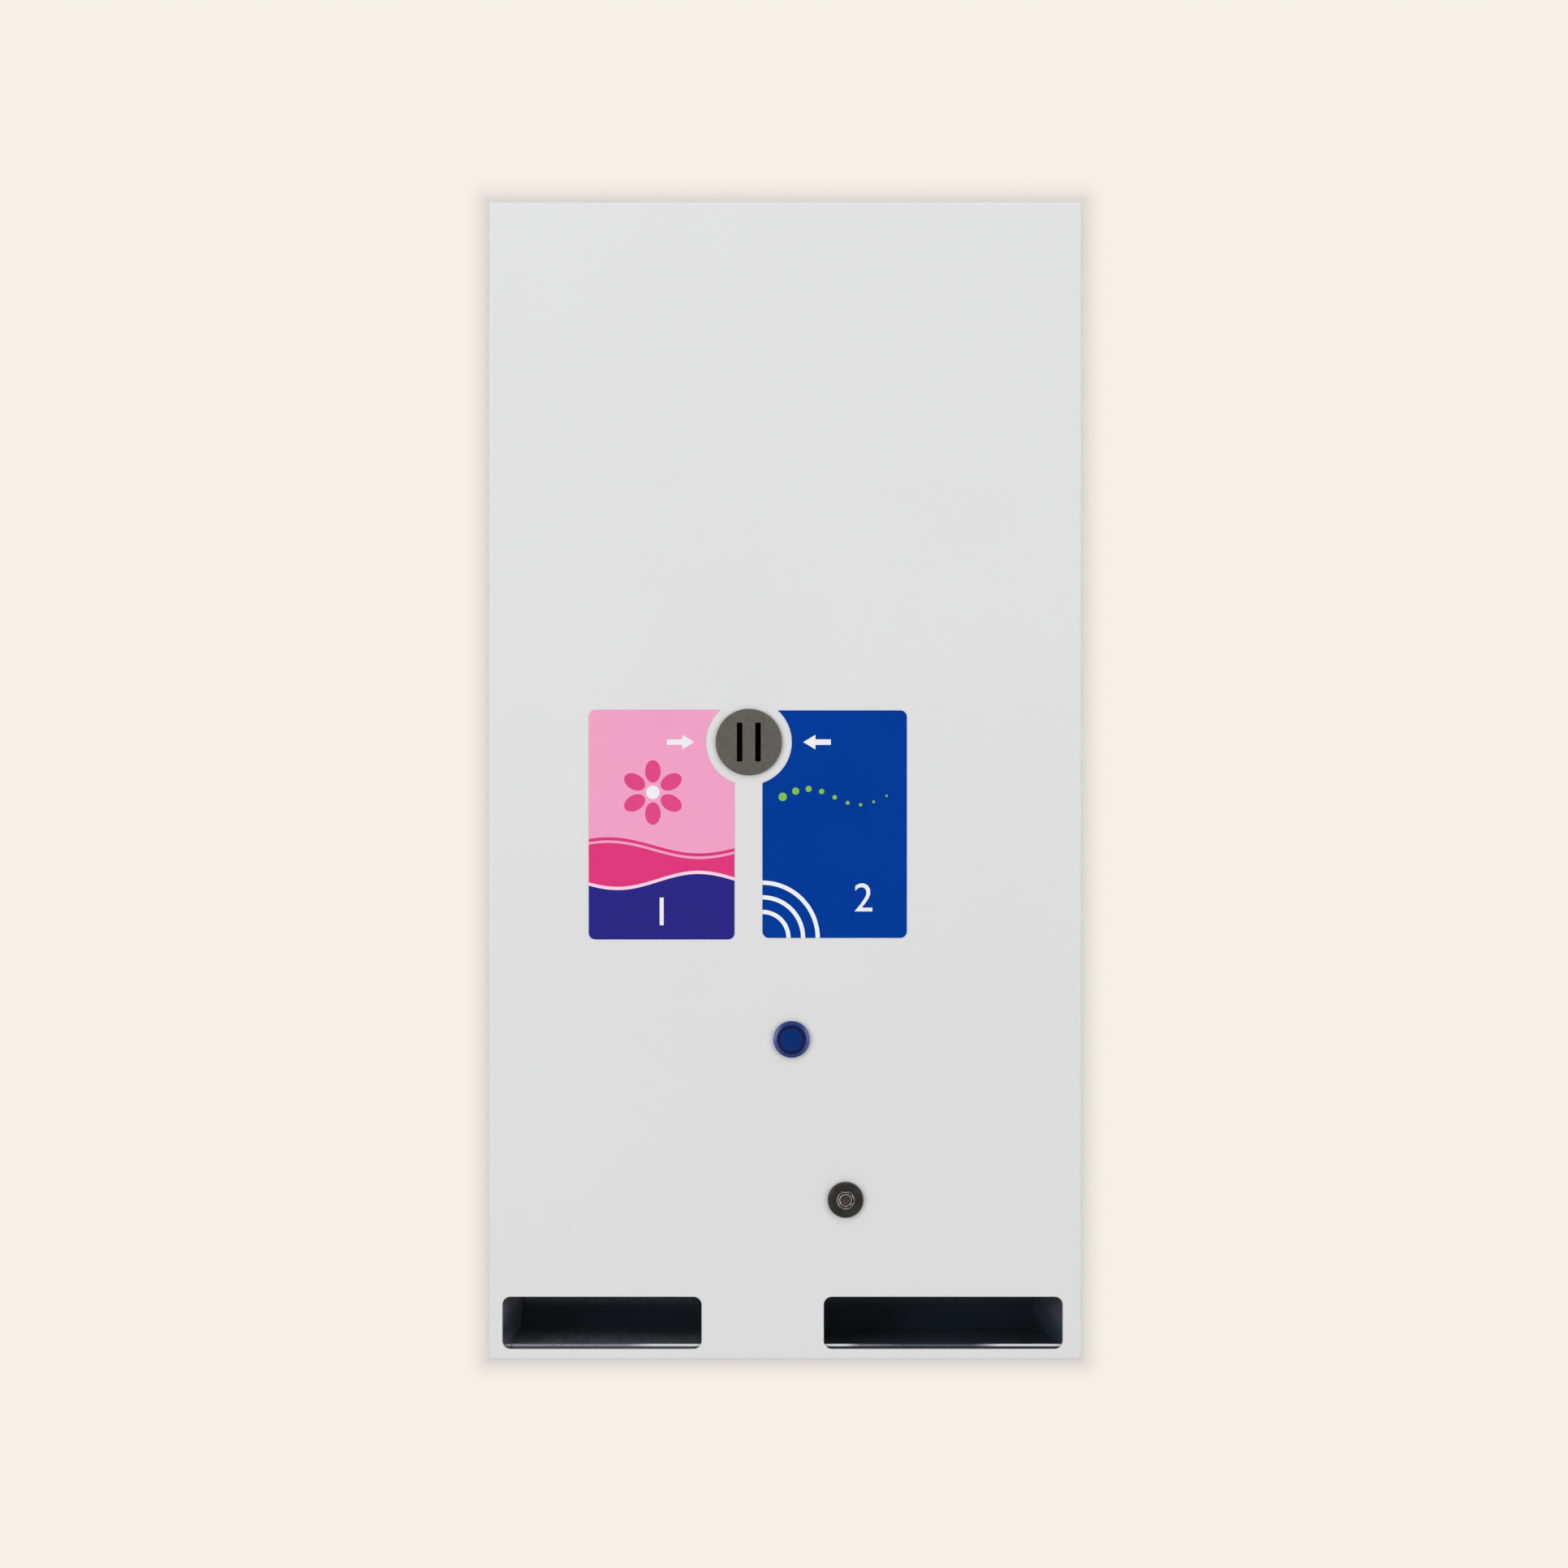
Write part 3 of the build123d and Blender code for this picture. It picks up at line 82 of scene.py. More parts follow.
# A value in a shader tree: whatever is reckoned with it adds a node
class Field:
    def __init__(self, tree, socket):
        self.tree, self.socket = tree, socket

    def math(self, operation, *others):
        node = addNode(self.tree, "ShaderNodeMath", dict(enumerate((self, *others))), operation=operation)
        return Field(self.tree, node.outputs[0])

    __add__ = partialmethod(math, "ADD")
    __sub__ = partialmethod(math, "SUBTRACT")
    __mul__ = partialmethod(math, "MULTIPLY")
    __truediv__ = partialmethod(math, "DIVIDE")
    __mod__ = partialmethod(math, "MODULO")
    __pow__ = partialmethod(math, "POWER")
    __lt__ = partialmethod(math, "LESS_THAN")
    __gt__ = partialmethod(math, "GREATER_THAN")
    __abs__ = partialmethod(math, "ABSOLUTE")
    smaller = partialmethod(math, "MINIMUM")
    larger = partialmethod(math, "MAXIMUM")
    sine = partialmethod(math, "SINE")
    root = partialmethod(math, "SQRT")

    def __rsub__(self, other):
        return self.math("MULTIPLY_ADD", -1, other)

    def clamped(self):
        self.socket.node.use_clamp = True
        return self

    def ramp(self, start, end, low=0, high=1):
        node = addNode(self.tree, "ShaderNodeMapRange", {"Value": self, "From Min": start, "From Max": end,
                                                         "To Min": low, "To Max": high})
        return Field(self.tree, node.outputs[0])

    def covered(self, amount, colour):
        return mixColour(self.tree, amount, self, colour)


# Small helpers for shader trees
def feed(tree, socket, value):
    value = value.socket if isinstance(value, Field) else value
    if isinstance(value, bpy.types.NodeSocket):
        tree.links.new(value, socket)
    else:
        socket.default_value = (*value, 1) if socket.type == "RGBA" else value


def addNode(tree, kind, inputs=None, **settings):
    node = tree.nodes.new(kind)
    for key, value in settings.items():
        setattr(node, key, value)
    for key, value in (inputs or {}).items():
        feed(tree, node.inputs[key], value)
    return node


def mixColour(tree, amount, first, second):
    node = addNode(tree, "ShaderNodeMix", {0: amount, 6: first, 7: second}, data_type="RGBA")
    return Field(tree, node.outputs[2])


def places(tree):
    place = addNode(tree, "ShaderNodeTexCoord")
    parts = addNode(tree, "ShaderNodeSeparateXYZ", {0: place.outputs["Object"]})
    return [Field(tree, axis) for axis in parts.outputs]


def distance(first, second):
    return (first * first + second * second).root()


def addNoise(tree, vector, scale, detail):
    return addNode(tree, "ShaderNodeTexNoise", {"Vector": vector, "Scale": scale, "Detail": detail})


def newTree(store, name):
    owner = store.new(name)
    owner.use_nodes = True
    owner.node_tree.nodes.clear()
    return owner, owner.node_tree


# A shader group: its tree, its named inputs, and the place on the object
def newGroup(name, **inputs):
    group = bpy.data.node_groups.new(name, "ShaderNodeTree")
    for label, value in inputs.items():
        kind = "NodeSocketVector" if isinstance(value, tuple) else "NodeSocketFloat"
        group.interface.new_socket(label, in_out="INPUT", socket_type=kind).default_value = value
    place = addNode(group, "ShaderNodeTexCoord").outputs["Object"]
    return group, group.nodes.new("NodeGroupInput").outputs, place


def closeGroup(group, **outputs):
    for label, value in outputs.items():
        kind = "NodeSocketFloat" if isinstance(value, Field) else "NodeSocketVector"
        group.interface.new_socket(label, in_out="OUTPUT", socket_type=kind)
    result = group.nodes.new("NodeGroupOutput")
    for label, value in outputs.items():
        feed(group, result.inputs[label], value)
    return group


def placeGroup(tree, group, **values):
    node = addNode(tree, "ShaderNodeGroup", node_tree=group)
    for label, value in values.items():
        node.inputs[label].default_value = value
    return {socket.name: Field(tree, socket) for socket in node.outputs}


# Rounds sharp sheet edges in the shading and marks where hands rub them
def makeSoftEdge(samples=4, patchScale=60, patchDetail=3, gain=3):
    group, source, place = newGroup("softEdge", Radius=0.4 * mm)
    bevel = addNode(group, "ShaderNodeBevel", {"Radius": source["Radius"]}, samples=samples)
    flat = addNode(group, "ShaderNodeNewGeometry")
    turn = addNode(group, "ShaderNodeVectorMath", {0: bevel.outputs[0], 1: flat.outputs["Normal"]},
                   operation="DOT_PRODUCT")
    patch = addNoise(group, place, patchScale, patchDetail)
    rubbed = ((1 - Field(group, turn.outputs["Value"])) * gain * patch.outputs[0]).clamped()
    return closeGroup(group, Normal=bevel.outputs[0], Edge=rubbed)


# Fine moulded or sprayed texture
def makeFineGrain():
    group, source, place = newGroup("fineGrain", Scale=900, Detail=2, Stretch=(1, 1, 1))
    drawn = addNode(group, "ShaderNodeVectorMath", {0: place, 1: source["Stretch"]}, operation="MULTIPLY")
    noise = addNoise(group, drawn.outputs[0], source["Scale"], source["Detail"])
    return closeGroup(group, Height=Field(group, noise.outputs[0]))


# Slow change of tone and gloss over a surface, as handling and dust leave it
def makeSlowDrift(detail=4, low=0.3, high=0.7):
    group, source, place = newGroup("slowDrift", Scale=6)
    noise = addNoise(group, place, source["Scale"], detail)
    return closeGroup(group, Value=Field(group, noise.outputs[0]).ramp(low, high))


# Crystals of a zinc coat
def makeZincSpangle(warpScale=90, warpDetail=2, warpReach=spot(8, 8, 8)):
    group, source, place = newGroup("zincSpangle", Scale=160)
    warp = addNoise(group, place, warpScale, warpDetail)
    moved = addNode(group, "ShaderNodeVectorMath", {0: warp.outputs["Color"], 1: warpReach, 2: place},
                    operation="MULTIPLY_ADD")
    cells = addNode(group, "ShaderNodeTexVoronoi", {"Vector": moved.outputs[0], "Scale": source["Scale"]})
    tone = addNode(group, "ShaderNodeSeparateColor", {0: cells.outputs["Color"]})
    return closeGroup(group, Value=Field(group, tone.outputs[0]))


softEdge, fineGrain = makeSoftEdge(), makeFineGrain()
slowDrift, zincSpangle = makeSlowDrift(), makeZincSpangle()


# A coat: linear colours, roughness from and to, millimetres for edge and depth, and scales per metre
def coat(colour, rough, drift, shade=0.8, metallic=0, specular=0.5, edge=0.3, worn=None, spangle=None,
         grain=900, stretch=(1, 1, 1), bump=0.1, depth=0.02):
    return locals()


printInk = dict(rough=(0.32, 0.4), drift=30, edge=0.1, grain=1100, bump=0.04)
drawnUp = (1, 1, 0.03)  # grain drawn out along the height
spangleShare = 0.6  # how much of the tone of zinc comes from its crystals
finishes = {
    "door_paint": coat((0.735, 0.74, 0.745), (0.36, 0.44), 5, shade=0.985, edge=0.7, grain=700, depth=0.06),
    "casing_paint": coat((0.72, 0.725, 0.73), (0.4, 0.5), 7, shade=0.97, edge=0.6,
                         worn=(0.08, (0.55, 0.56, 0.57)), grain=700, bump=0.12, depth=0.06),
    "zinc_sheet": coat((0.60, 0.62, 0.64), (0.28, 0.42), 14, metallic=1, edge=0.4,
                       worn=(0.3, (0.8, 0.8, 0.8)), spangle=170, grain=1800, bump=0.05),
    "steel_part": coat((0.50, 0.50, 0.51), (0.25, 0.4), 25, metallic=1, worn=(0.4, (0.8, 0.8, 0.8)),
                       grain=2500, stretch=drawnUp, bump=0.12),
    "screw_steel": coat((0.66, 0.65, 0.62), (0.2, 0.34), 60, metallic=1, edge=0.2,
                        worn=(0.4, (0.85, 0.85, 0.85)), grain=3000, bump=0.05, depth=0.01),
    "coin_steel": coat((0.137, 0.123, 0.110), (0.42, 0.54), 330, metallic=0.45,
                       worn=(0.5, (0.36, 0.35, 0.33)), grain=2600, bump=0.22, depth=0.03),
    "tray_plastic": coat((0.035, 0.049, 0.064), (0.28, 0.4), 16, shade=0.78, edge=0.5,
                         worn=(0.12, (0.10, 0.105, 0.11)), grain=260, bump=0.06, depth=0.1),
    "button_blue": coat((0.011, 0.042, 0.205), (0.15, 0.23), 120, specular=0.24,
                        worn=(0.5, (0.16, 0.20, 0.46)), grain=1800, bump=0.06),
    "cap_blue": coat((0.0015, 0.028, 0.185), (0.36, 0.48), 150, shade=0.85, specular=0.07,
                     worn=(0.5, (0.1, 0.14, 0.42)), grain=1800, bump=0.08),
    "lock_black": coat((0.023, 0.023, 0.021), (0.3, 0.46), 230, shade=0.38, metallic=0.2,
                       worn=(0.4, (0.16, 0.15, 0.14)), grain=1500, bump=0.14, depth=0.03),
    "lock_chrome": coat((0.085, 0.066, 0.058), (0.24, 0.42), 240, shade=0.6, metallic=0.6,
                        worn=(1, (0.95, 0.92, 0.88)), grain=2200),
    "black_plastic": coat((0.018, 0.018, 0.02), (0.38, 0.52), 30, edge=0.4, worn=(0.25, (0.09, 0.09, 0.1)),
                          grain=1400, bump=0.2, depth=0.05),
    "grey_plastic": coat((0.27, 0.275, 0.28), (0.36, 0.5), 30, shade=0.9, edge=0.4,
                         worn=(0.2, (0.45, 0.45, 0.46)), grain=1400, bump=0.2, depth=0.05),
    "rubber": coat((0.012, 0.012, 0.012), (0.6, 0.8), 50, shade=0.7, edge=0.4, worn=(0.2, (0.06, 0.06, 0.06)),
                   grain=2200, bump=0.3, depth=0.05),
    "nylon": coat((0.74, 0.72, 0.64), (0.34, 0.46), 40, shade=0.9, edge=0.4, worn=(0.1, (0.85, 0.84, 0.78)),
                  depth=0.04),
    "motor_metal": coat((0.45, 0.455, 0.46), (0.36, 0.52), 45, shade=0.82, metallic=0.9, edge=0.5,
                        worn=(0.35, (0.75, 0.75, 0.76)), grain=1600, bump=0.3, depth=0.05),
    "brass": coat((0.70, 0.50, 0.20), (0.22, 0.36), 90, shade=0.78, metallic=1, edge=0.2,
                  worn=(0.5, (0.9, 0.74, 0.42)), grain=2400, bump=0.08),
    "board_green": coat((0.008, 0.085, 0.035), (0.22, 0.32), 60, bump=0.05, depth=0.03),
    "relay_blue": coat((0.012, 0.10, 0.34), (0.32, 0.42), 60, shade=0.88, edge=0.5,
                       worn=(0.2, (0.1, 0.24, 0.5)), grain=1200, depth=0.03),
    "terminal_green": coat((0.012, 0.22, 0.075), (0.34, 0.44), 60, shade=0.88, edge=0.4,
                           worn=(0.2, (0.1, 0.4, 0.2)), grain=1200, depth=0.03),
    "cell_wrap": coat((0.02, 0.02, 0.024), (0.16, 0.26), 40, shade=0.85, edge=0.4,
                      worn=(0.2, (0.12, 0.12, 0.13)), grain=700, bump=0.05, depth=0.03),
    "cable_jacket": coat((0.016, 0.016, 0.018), (0.4, 0.55), 60, shade=0.85, worn=(0.1, (0.06, 0.06, 0.06)),
                         grain=1500, bump=0.15, depth=0.04),
    "towel_vinyl": coat((0.87, 0.36, 0.56), (0.34, 0.42), 20, shade=0.97, specular=0.12, edge=0.2, grain=1100,
                        bump=0.06),
    "tampon_vinyl": coat((0, 0.037, 0.30), (0.34, 0.42), 20, shade=0.93, specular=0.03, edge=0.2, grain=1100,
                         bump=0.06),
    "white_print": coat((0.86, 0.87, 0.88), **printInk, shade=0.97),
    "magenta_print": coat((0.74, 0.045, 0.205), **printInk, shade=0.95),
    "green_print": coat((0.21, 0.52, 0.05), **printInk, shade=0.95),
    "track_green": coat((0.03, 0.19, 0.075), (0.2, 0.3), 80, shade=0.85, edge=0.1, grain=1500, bump=0.04,
                        depth=0.01),
    "tinned": coat((0.68, 0.68, 0.66), (0.2, 0.34), 200, shade=0.75, metallic=1, edge=0.1, grain=2600,
                   bump=0.15),
    "amber_tape": coat((0.62, 0.31, 0.035), (0.26, 0.36), 90, edge=0.2, grain=1400, bump=0.15, depth=0.03),
    "tan_ceramic": coat((0.55, 0.36, 0.19), (0.35, 0.45), 120, shade=0.88, edge=0.1, grain=2200),
    "red_lens": coat((0.5, 0.012, 0.01), (0.12, 0.2), 90, shade=0.85, edge=0.1, bump=0.02, depth=0.01),
    "rim_chrome": coat((0.97, 0.93, 0.89), (0.16, 0.34), 420, shade=0.16, metallic=1, edge=0.1, grain=2600),
}


# One finish: drift of tone and gloss, rubbed edges, and a fine bump under rounded edges
def makeFinish(name, look, paint=None):
    material, tree = newTree(bpy.data.materials, name + "Look")
    tone = placeGroup(tree, slowDrift, Scale=look["drift"])["Value"]
    edge = placeGroup(tree, softEdge, Radius=look["edge"] * mm)
    grain = placeGroup(tree, fineGrain, Scale=look["grain"], Stretch=look["stretch"])
    if look["spangle"]:
        zinc = placeGroup(tree, zincSpangle, Scale=look["spangle"])["Value"]
        tone = zinc * spangleShare + tone * (1 - spangleShare)
    colour = mixColour(tree, tone, [part * look["shade"] for part in look["colour"]], look["colour"])
    if look["worn"]:
        amount, pale = look["worn"]
        colour = colour.covered(edge["Edge"] * amount, pale)
    gloss = tone.ramp(0, 1, *look["rough"])
    if paint:
        colour, gloss = paint(tree, colour, gloss)
    bump = addNode(tree, "ShaderNodeBump", {"Height": grain["Height"], "Strength": look["bump"],
                                            "Distance": look["depth"] * mm, "Normal": edge["Normal"]})
    shader = addNode(tree, "ShaderNodeBsdfPrincipled", {
        "Base Color": colour, "Roughness": gloss, "Normal": bump.outputs[0], "Metallic": look["metallic"],
        "Specular IOR Level": look["specular"]})
    addNode(tree, "ShaderNodeOutputMaterial", {"Surface": shader.outputs[0]})
    return material


# Wavy fields of colour on the left label, in shares of its width and height
towelPrint = dict(violet=(0.020, 0.016, 0.225), magenta=(0.72, 0.036, 0.195), pale=(0.95, 0.66, 0.78),
                  violetTop=0.25, violetWave=(0.9, 3.6), magentaTop=0.385, magentaWave=(0.8, 0.9), wave=0.035,
                  lineGap=0.018, line=0.007)


def waveLine(across, level, height, turns, start):
    return (across * (2 * pi * turns) + start).sine() * height + level


def paintTowelLabel(tree, colour, gloss):
    look = towelPrint
    low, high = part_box("towel_label")
    x, y, z = places(tree)
    across, up = (x - low.x) / (high.x - low.x), (z - low.z) / (high.z - low.z)
    magentaEdge = waveLine(across, look["magentaTop"], look["wave"], *look["magentaWave"])
    below = up - waveLine(across, look["violetTop"], look["wave"], *look["violetWave"])
    ribbon = abs(up - (magentaEdge + look["lineGap"])) < look["line"]
    colour = colour.covered(ribbon, look["magenta"]).covered(up < magentaEdge, look["magenta"])
    return colour.covered(below < look["line"] * 2, look["pale"]).covered(below < 0, look["violet"]), gloss


# Quarter rings in the right label's lower left corner, over a fine weave
tamponPrint = dict(white=(0.84, 0.87, 0.9), rings=spot(16, 25, 34), ring=2.6 * mm, sky=(0.003, 0.075, 0.42),
                   weave=1.15 * mm, weaveShade=0.14)


def paintTamponLabel(tree, colour, gloss):
    look = tamponPrint
    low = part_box("tampon_label")[0]
    x, y, z = places(tree)
    over, under = ((axis * (2 * pi / look["weave"])).sine() for axis in (x, z))
    colour = colour.covered((over * under * look["weaveShade"] + look["weaveShade"]).clamped(), look["sky"])
    reach = distance(x - low.x, z - low.z)
    for radius in look["rings"]:
        colour = colour.covered(abs(reach - radius) < look["ring"] / 2, look["white"])
    return colour, gloss


# Trays: painted light on the floor near the mouth, on the end walls and high on the back wall, painted shade
# along the crease of end and back walls, and a lip polished smooth under a painted highlight.
# The amounts, wall and wallEven are pairs for the left and the right tray.
trayScuff = dict(colour=(0.19, 0.205, 0.235), streaks=(1, 0.12, 1), streakScale=420,
                 reach=56 * mm, fall=0.85, height=11 * mm, floorAmount=(3.4, 0.25),
                 backRise=spot(13.5, 21), backAmount=(1.5, 0.4),
                 wall=spot(7.2, 12), wallSide=spot(1, -1), wallRise=spot(3, 20), wallEven=(0.6, 0.08),
                 wallAmount=(0.8, 0.75), crease=0.9 * mm, creaseAmount=(0.85, 0),
                 creaseColour=(0.002, 0.002, 0.003))
# Painted highlight along the lip and painted shade on its face below; gloss is the lip's own smoother
# roughness
trayLip = dict(colour=(0.36, 0.37, 0.38), gloss=0.14, depth=2.7 * mm, rise=spot(3.2, 5.4), amount=0.5,
               under=(0.004, 0.005, 0.006), underAmount=0.75, bare=(-0.42, 0.35), bareSide=0.1,
               bareAmount=-0.95, glint=(0.80, 0.82, 0.85), glintAmount=0.8,
               glints=(spot(-98, -82), spot(108, 132), spot(46, 37)))


def paintTray(tree, colour, gloss):
    look = trayScuff
    low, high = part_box("towel_tray")[0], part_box("tampon_tray")[1]
    x, y, z = places(tree)
    behind, above, onLeft = y - low.y, z - low.z, x < 0

    def perTray(left, right):
        return onLeft * (left - right) + right

    streaks = placeGroup(tree, fineGrain, Scale=look["streakScale"], Stretch=look["streaks"])["Height"]
    front = (1 - behind / look["reach"]).clamped() ** look["fall"]
    floor = front * (1 - above / look["height"]).clamped() * perTray(*look["floorAmount"])
    back = above.ramp(*look["backRise"]) * perTray(*look["backAmount"])
    fromEnd = (x - low.x).smaller(high.x - x) - perTray(*look["wall"])
    wall = (fromEnd.ramp(*look["wallSide"]) * perTray(*look["wallAmount"])
            * above.ramp(*look["wallRise"]).larger(perTray(*look["wallEven"])))
    # Painted light: paler on the floor near the mouth, high on the back wall and on the end walls
    colour = colour.covered((streaks * floor.larger(back.larger(wall))).clamped(), look["colour"])
    # Painted shade: darker along the crease where the end wall meets the back wall (left tray only)
    crease = abs(fromEnd).ramp(look["crease"], 0) * perTray(*look["creaseAmount"])
    colour = colour.covered(crease, look["creaseColour"])
    return paintLip(x, behind, above, onLeft, streaks, colour, gloss)


# The lip has a painted highlight along the left tray, and on the right one only outside its unlit middle
def paintLip(x, behind, above, onLeft, streaks, colour, gloss):
    look = trayLip
    low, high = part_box("tampon_tray")
    atLip = behind < look["depth"]
    bottom, top = look["rise"]
    # Painted shade on the lip's front face below the highlight
    colour = colour.covered(atLip * (above < bottom) * look["underAmount"], look["under"])
    share = (x - (low.x + high.x) / 2) / ((high.x - low.x) / 2)
    side, (bareLow, bareHigh) = look["bareSide"], look["bare"]
    bare = share.ramp(bareLow - side, bareLow + side) * share.ramp(bareHigh + side, bareHigh - side)
    lip = atLip * (above > bottom) * (above < top) * (bare * look["bareAmount"] + 1)
    # Painted highlight: the lip's band made paler, streaked
    colour = colour.covered(lip * streaks * look["amount"], look["colour"])
    # Painted glints: brighter patches of the highlight at set places along the lips
    nearLeft, farRight, nearRight = (x.ramp(*ends) for ends in look["glints"])
    shine = (nearLeft * onLeft).larger(farRight.larger(nearRight) * (1 - onLeft))
    colour = colour.covered(shine * lip * look["glintAmount"], look["glint"])
    return colour, gloss - lip * (gloss - look["gloss"])


# The button's bezel: a painted highlight at its sides, and painted shade in the recess round the cap
bezelWear = dict(pale=(0.07, 0.09, 0.30), paleFrom=(0.45, 0.95), paleAmount=0.8, dirt=(0.001, 0.006, 0.062),
                 recess=8.9 * mm, dirtEdge=0.35 * mm, dirtAmount=0.85)


def paintBezel(tree, colour, gloss):
    look = bezelWear
    low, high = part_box("button_bezel")
    x, y, z = places(tree)
    aside = abs(x - (low.x + high.x) / 2)
    reach = distance(aside, z - (low.z + high.z) / 2)
    # Painted highlight: the bezel paler towards its left and right sides
    colour = colour.covered((aside / reach).ramp(*look["paleFrom"]) * look["paleAmount"], look["pale"])
    # Painted shade: the bezel darker close round the recess
    dirt = reach.ramp(look["recess"] + look["dirtEdge"], look["recess"]) * look["dirtAmount"]
    return colour.covered(dirt, look["dirt"]), gloss


# Plain cells: a grey sleeve band near one end of each
cellBands = dict(colour=(0.30, 0.305, 0.315), rowPitch=62.1 * mm, start=9 * mm, width=17 * mm)


def paintCells(tree, colour, gloss):
    look = cellBands
    x, y, z = places(tree)
    past = (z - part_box("battery_cells")[0].z) % look["rowPitch"] - look["start"]
    return colour.covered((past > 0) * (past < look["width"]), look["colour"]), gloss


paints = {"towel_vinyl": paintTowelLabel, "tampon_vinyl": paintTamponLabel, "tray_plastic": paintTray,
          "button_blue": paintBezel, "cell_wrap": paintCells}
looks = {name: makeFinish(name, look, paints.get(name)) for name, look in finishes.items()}
for item in nodes.values():
    for slot in item.material_slots:
        slot.material = looks[slot.material.name.split(".")[0]]
print("finishes made:", len(looks))


def newObject(name, data):
    item = bpy.data.objects.new(name, data)
    bpy.context.scene.collection.objects.link(item)
    return item


# Joins meshes into a piece that rides on a body
def addPiece(name, meshes, look, body="casing", slotName=None, smooth=False):
    whole, part, data = bmesh.new(), bpy.data.meshes.new("part"), bpy.data.meshes.new(name)
    for mesh in meshes:
        mesh.to_mesh(part)
        mesh.free()
        whole.from_mesh(part)
    whole.to_mesh(data)
    whole.free()
    bpy.data.meshes.remove(part)
    if smooth:
        data.shade_smooth()
    data.materials.append(looks[look])
    piece = newObject(name, data)
    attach(piece, body)
    return piece


# Outlines: lists of places across and up, in millimetres like all that follows up to the stage
def angles(steps):
    return [2 * pi * step / steps for step in range(steps)]


def rotated(x, z, turn):
    return x * cos(turn) - z * sin(turn), x * sin(turn) + z * cos(turn)


def circleOutline(x, z, radius, steps):
    return [(x + radius * cos(turn), z + radius * sin(turn)) for turn in angles(steps)]


def petalOutline(turn, inner, outer, width, steps=20):
    middle, reach = (inner + outer) / 2, (outer - inner) / 2
    return [rotated(middle + reach * cos(step), width / 2 * sin(step), turn) for step in angles(steps)]


def arrowOutline(length, width, head, shaft, side):
    half, neck = length / 2, length / 2 - head
    upper = [(-half, shaft / 2), (neck, shaft / 2), (neck, width / 2)]
    points = [(x, -z) for x, z in upper] + [(half, 0)] + upper[::-1]
    return [(side * x, z) for x, z in points]


# The outline of a line of a given width through points, mitred at its corners
def stripeOutline(points, width, sharpest=0.35):
    points = [Vector(point) for point in points]
    headings = [(end - start).normalized() for start, end in zip(points, points[1:])]
    lefts, rights = [], []
    for point, before, after in zip(points, headings[:1] + headings, headings + headings[-1:]):
        along = (before + after).normalized()
        across = Vector((-along.y, along.x))
        reach = width / 2 / max(sharpest, across.dot(Vector((-after.y, after.x))))
        lefts.append(tuple(point + across * reach))
        rights.append(tuple(point - across * reach))
    return lefts + rights[::-1]


# Outlines about a centre, raised from the flat face that they lie on
def printedShape(outlines, centre, face, thickness):
    mesh = bmesh.new()
    for outline in outlines:
        mesh.faces.new([mesh.verts.new(spot(centre[0] + x, face, centre[1] + z)) for x, z in outline])
    bmesh.ops.recalc_face_normals(mesh, faces=mesh.faces)
    pushed = bmesh.ops.extrude_face_region(mesh, geom=mesh.faces[:])
    moved = [item for item in pushed["geom"] if isinstance(item, bmesh.types.BMVert)]
    bmesh.ops.translate(mesh, vec=spot(0, -thickness, 0), verts=moved)
    bmesh.ops.recalc_face_normals(mesh, faces=mesh.faces)
    return mesh


# The closed mesh of a curve or a text
def curveMesh(curve, weld=0.001):
    item = bpy.data.objects.new("curve", curve)
    data = bpy.data.meshes.new_from_object(item)
    mesh = bmesh.new()
    mesh.from_mesh(data)
    bmesh.ops.remove_doubles(mesh, verts=mesh.verts, dist=weld * mm)
    bpy.data.meshes.remove(data)
    bpy.data.objects.remove(item)
    bpy.data.curves.remove(curve)
    return mesh


def numeralMesh(character, size, centre, face, thickness):
    text = bpy.data.curves.new("numeral", "FONT")
    text.body, text.size, text.extrude = character, size * mm, thickness / 2 * mm
    text.align_x, text.align_y = "CENTER", "CENTER"
    mesh = curveMesh(text)
    mesh.transform(Matrix.Translation(spot(centre[0], face, centre[1])) @ Matrix.Rotation(pi / 2, 4, "X"))
    return mesh


def wire(points, radius):
    path = bpy.data.curves.new("wire", "CURVE")
    path.dimensions, path.bevel_depth, path.bevel_resolution, path.use_fill_caps = "3D", radius * mm, 1, True
    spline = path.splines.new("POLY")
    spline.points.add(len(points) - 1)
    for knot, point in zip(spline.points, points):
        knot.co = (*spot(*point), 1)
    return curveMesh(path)


# Generic prints: a numeral and an arrow towards the coin slots on each label, a flower and beads.
# Places on a label are shares of its width and height.
labelArt = dict(thickness=0.06, arrow=(17, 9, 7.5, 3.4), arrowGap=42, numeral=25,
                numerals=(("towel", -1, "1", (0.5, 0.115)), ("tampon", 1, "2", (0.70, 0.17))),
                flower=(0.44, 0.64), petals=6, petal=(6, 20, 9.6), eye=4.2, eyeSteps=32,
                beads=9, bead=2.6, beadShrink=0.86, beadStart=(0.14, 0.62), beadPitch=0.09, beadWave=0.035,
                beadTurn=0.8, beadSteps=24)


def onLabel(stem, across, up):
    low, high, middle = corners(stem + "_label")
    return low.x + across * (high.x - low.x), low.z + up * (high.z - low.z)


def addPrint(stem, name, look, maker, *shape):
    mesh = maker(*shape, corners(stem + "_label")[0].y, labelArt["thickness"])
    addPiece(stem + "Label" + name, [mesh], look, "door", stem + "_vinyl")


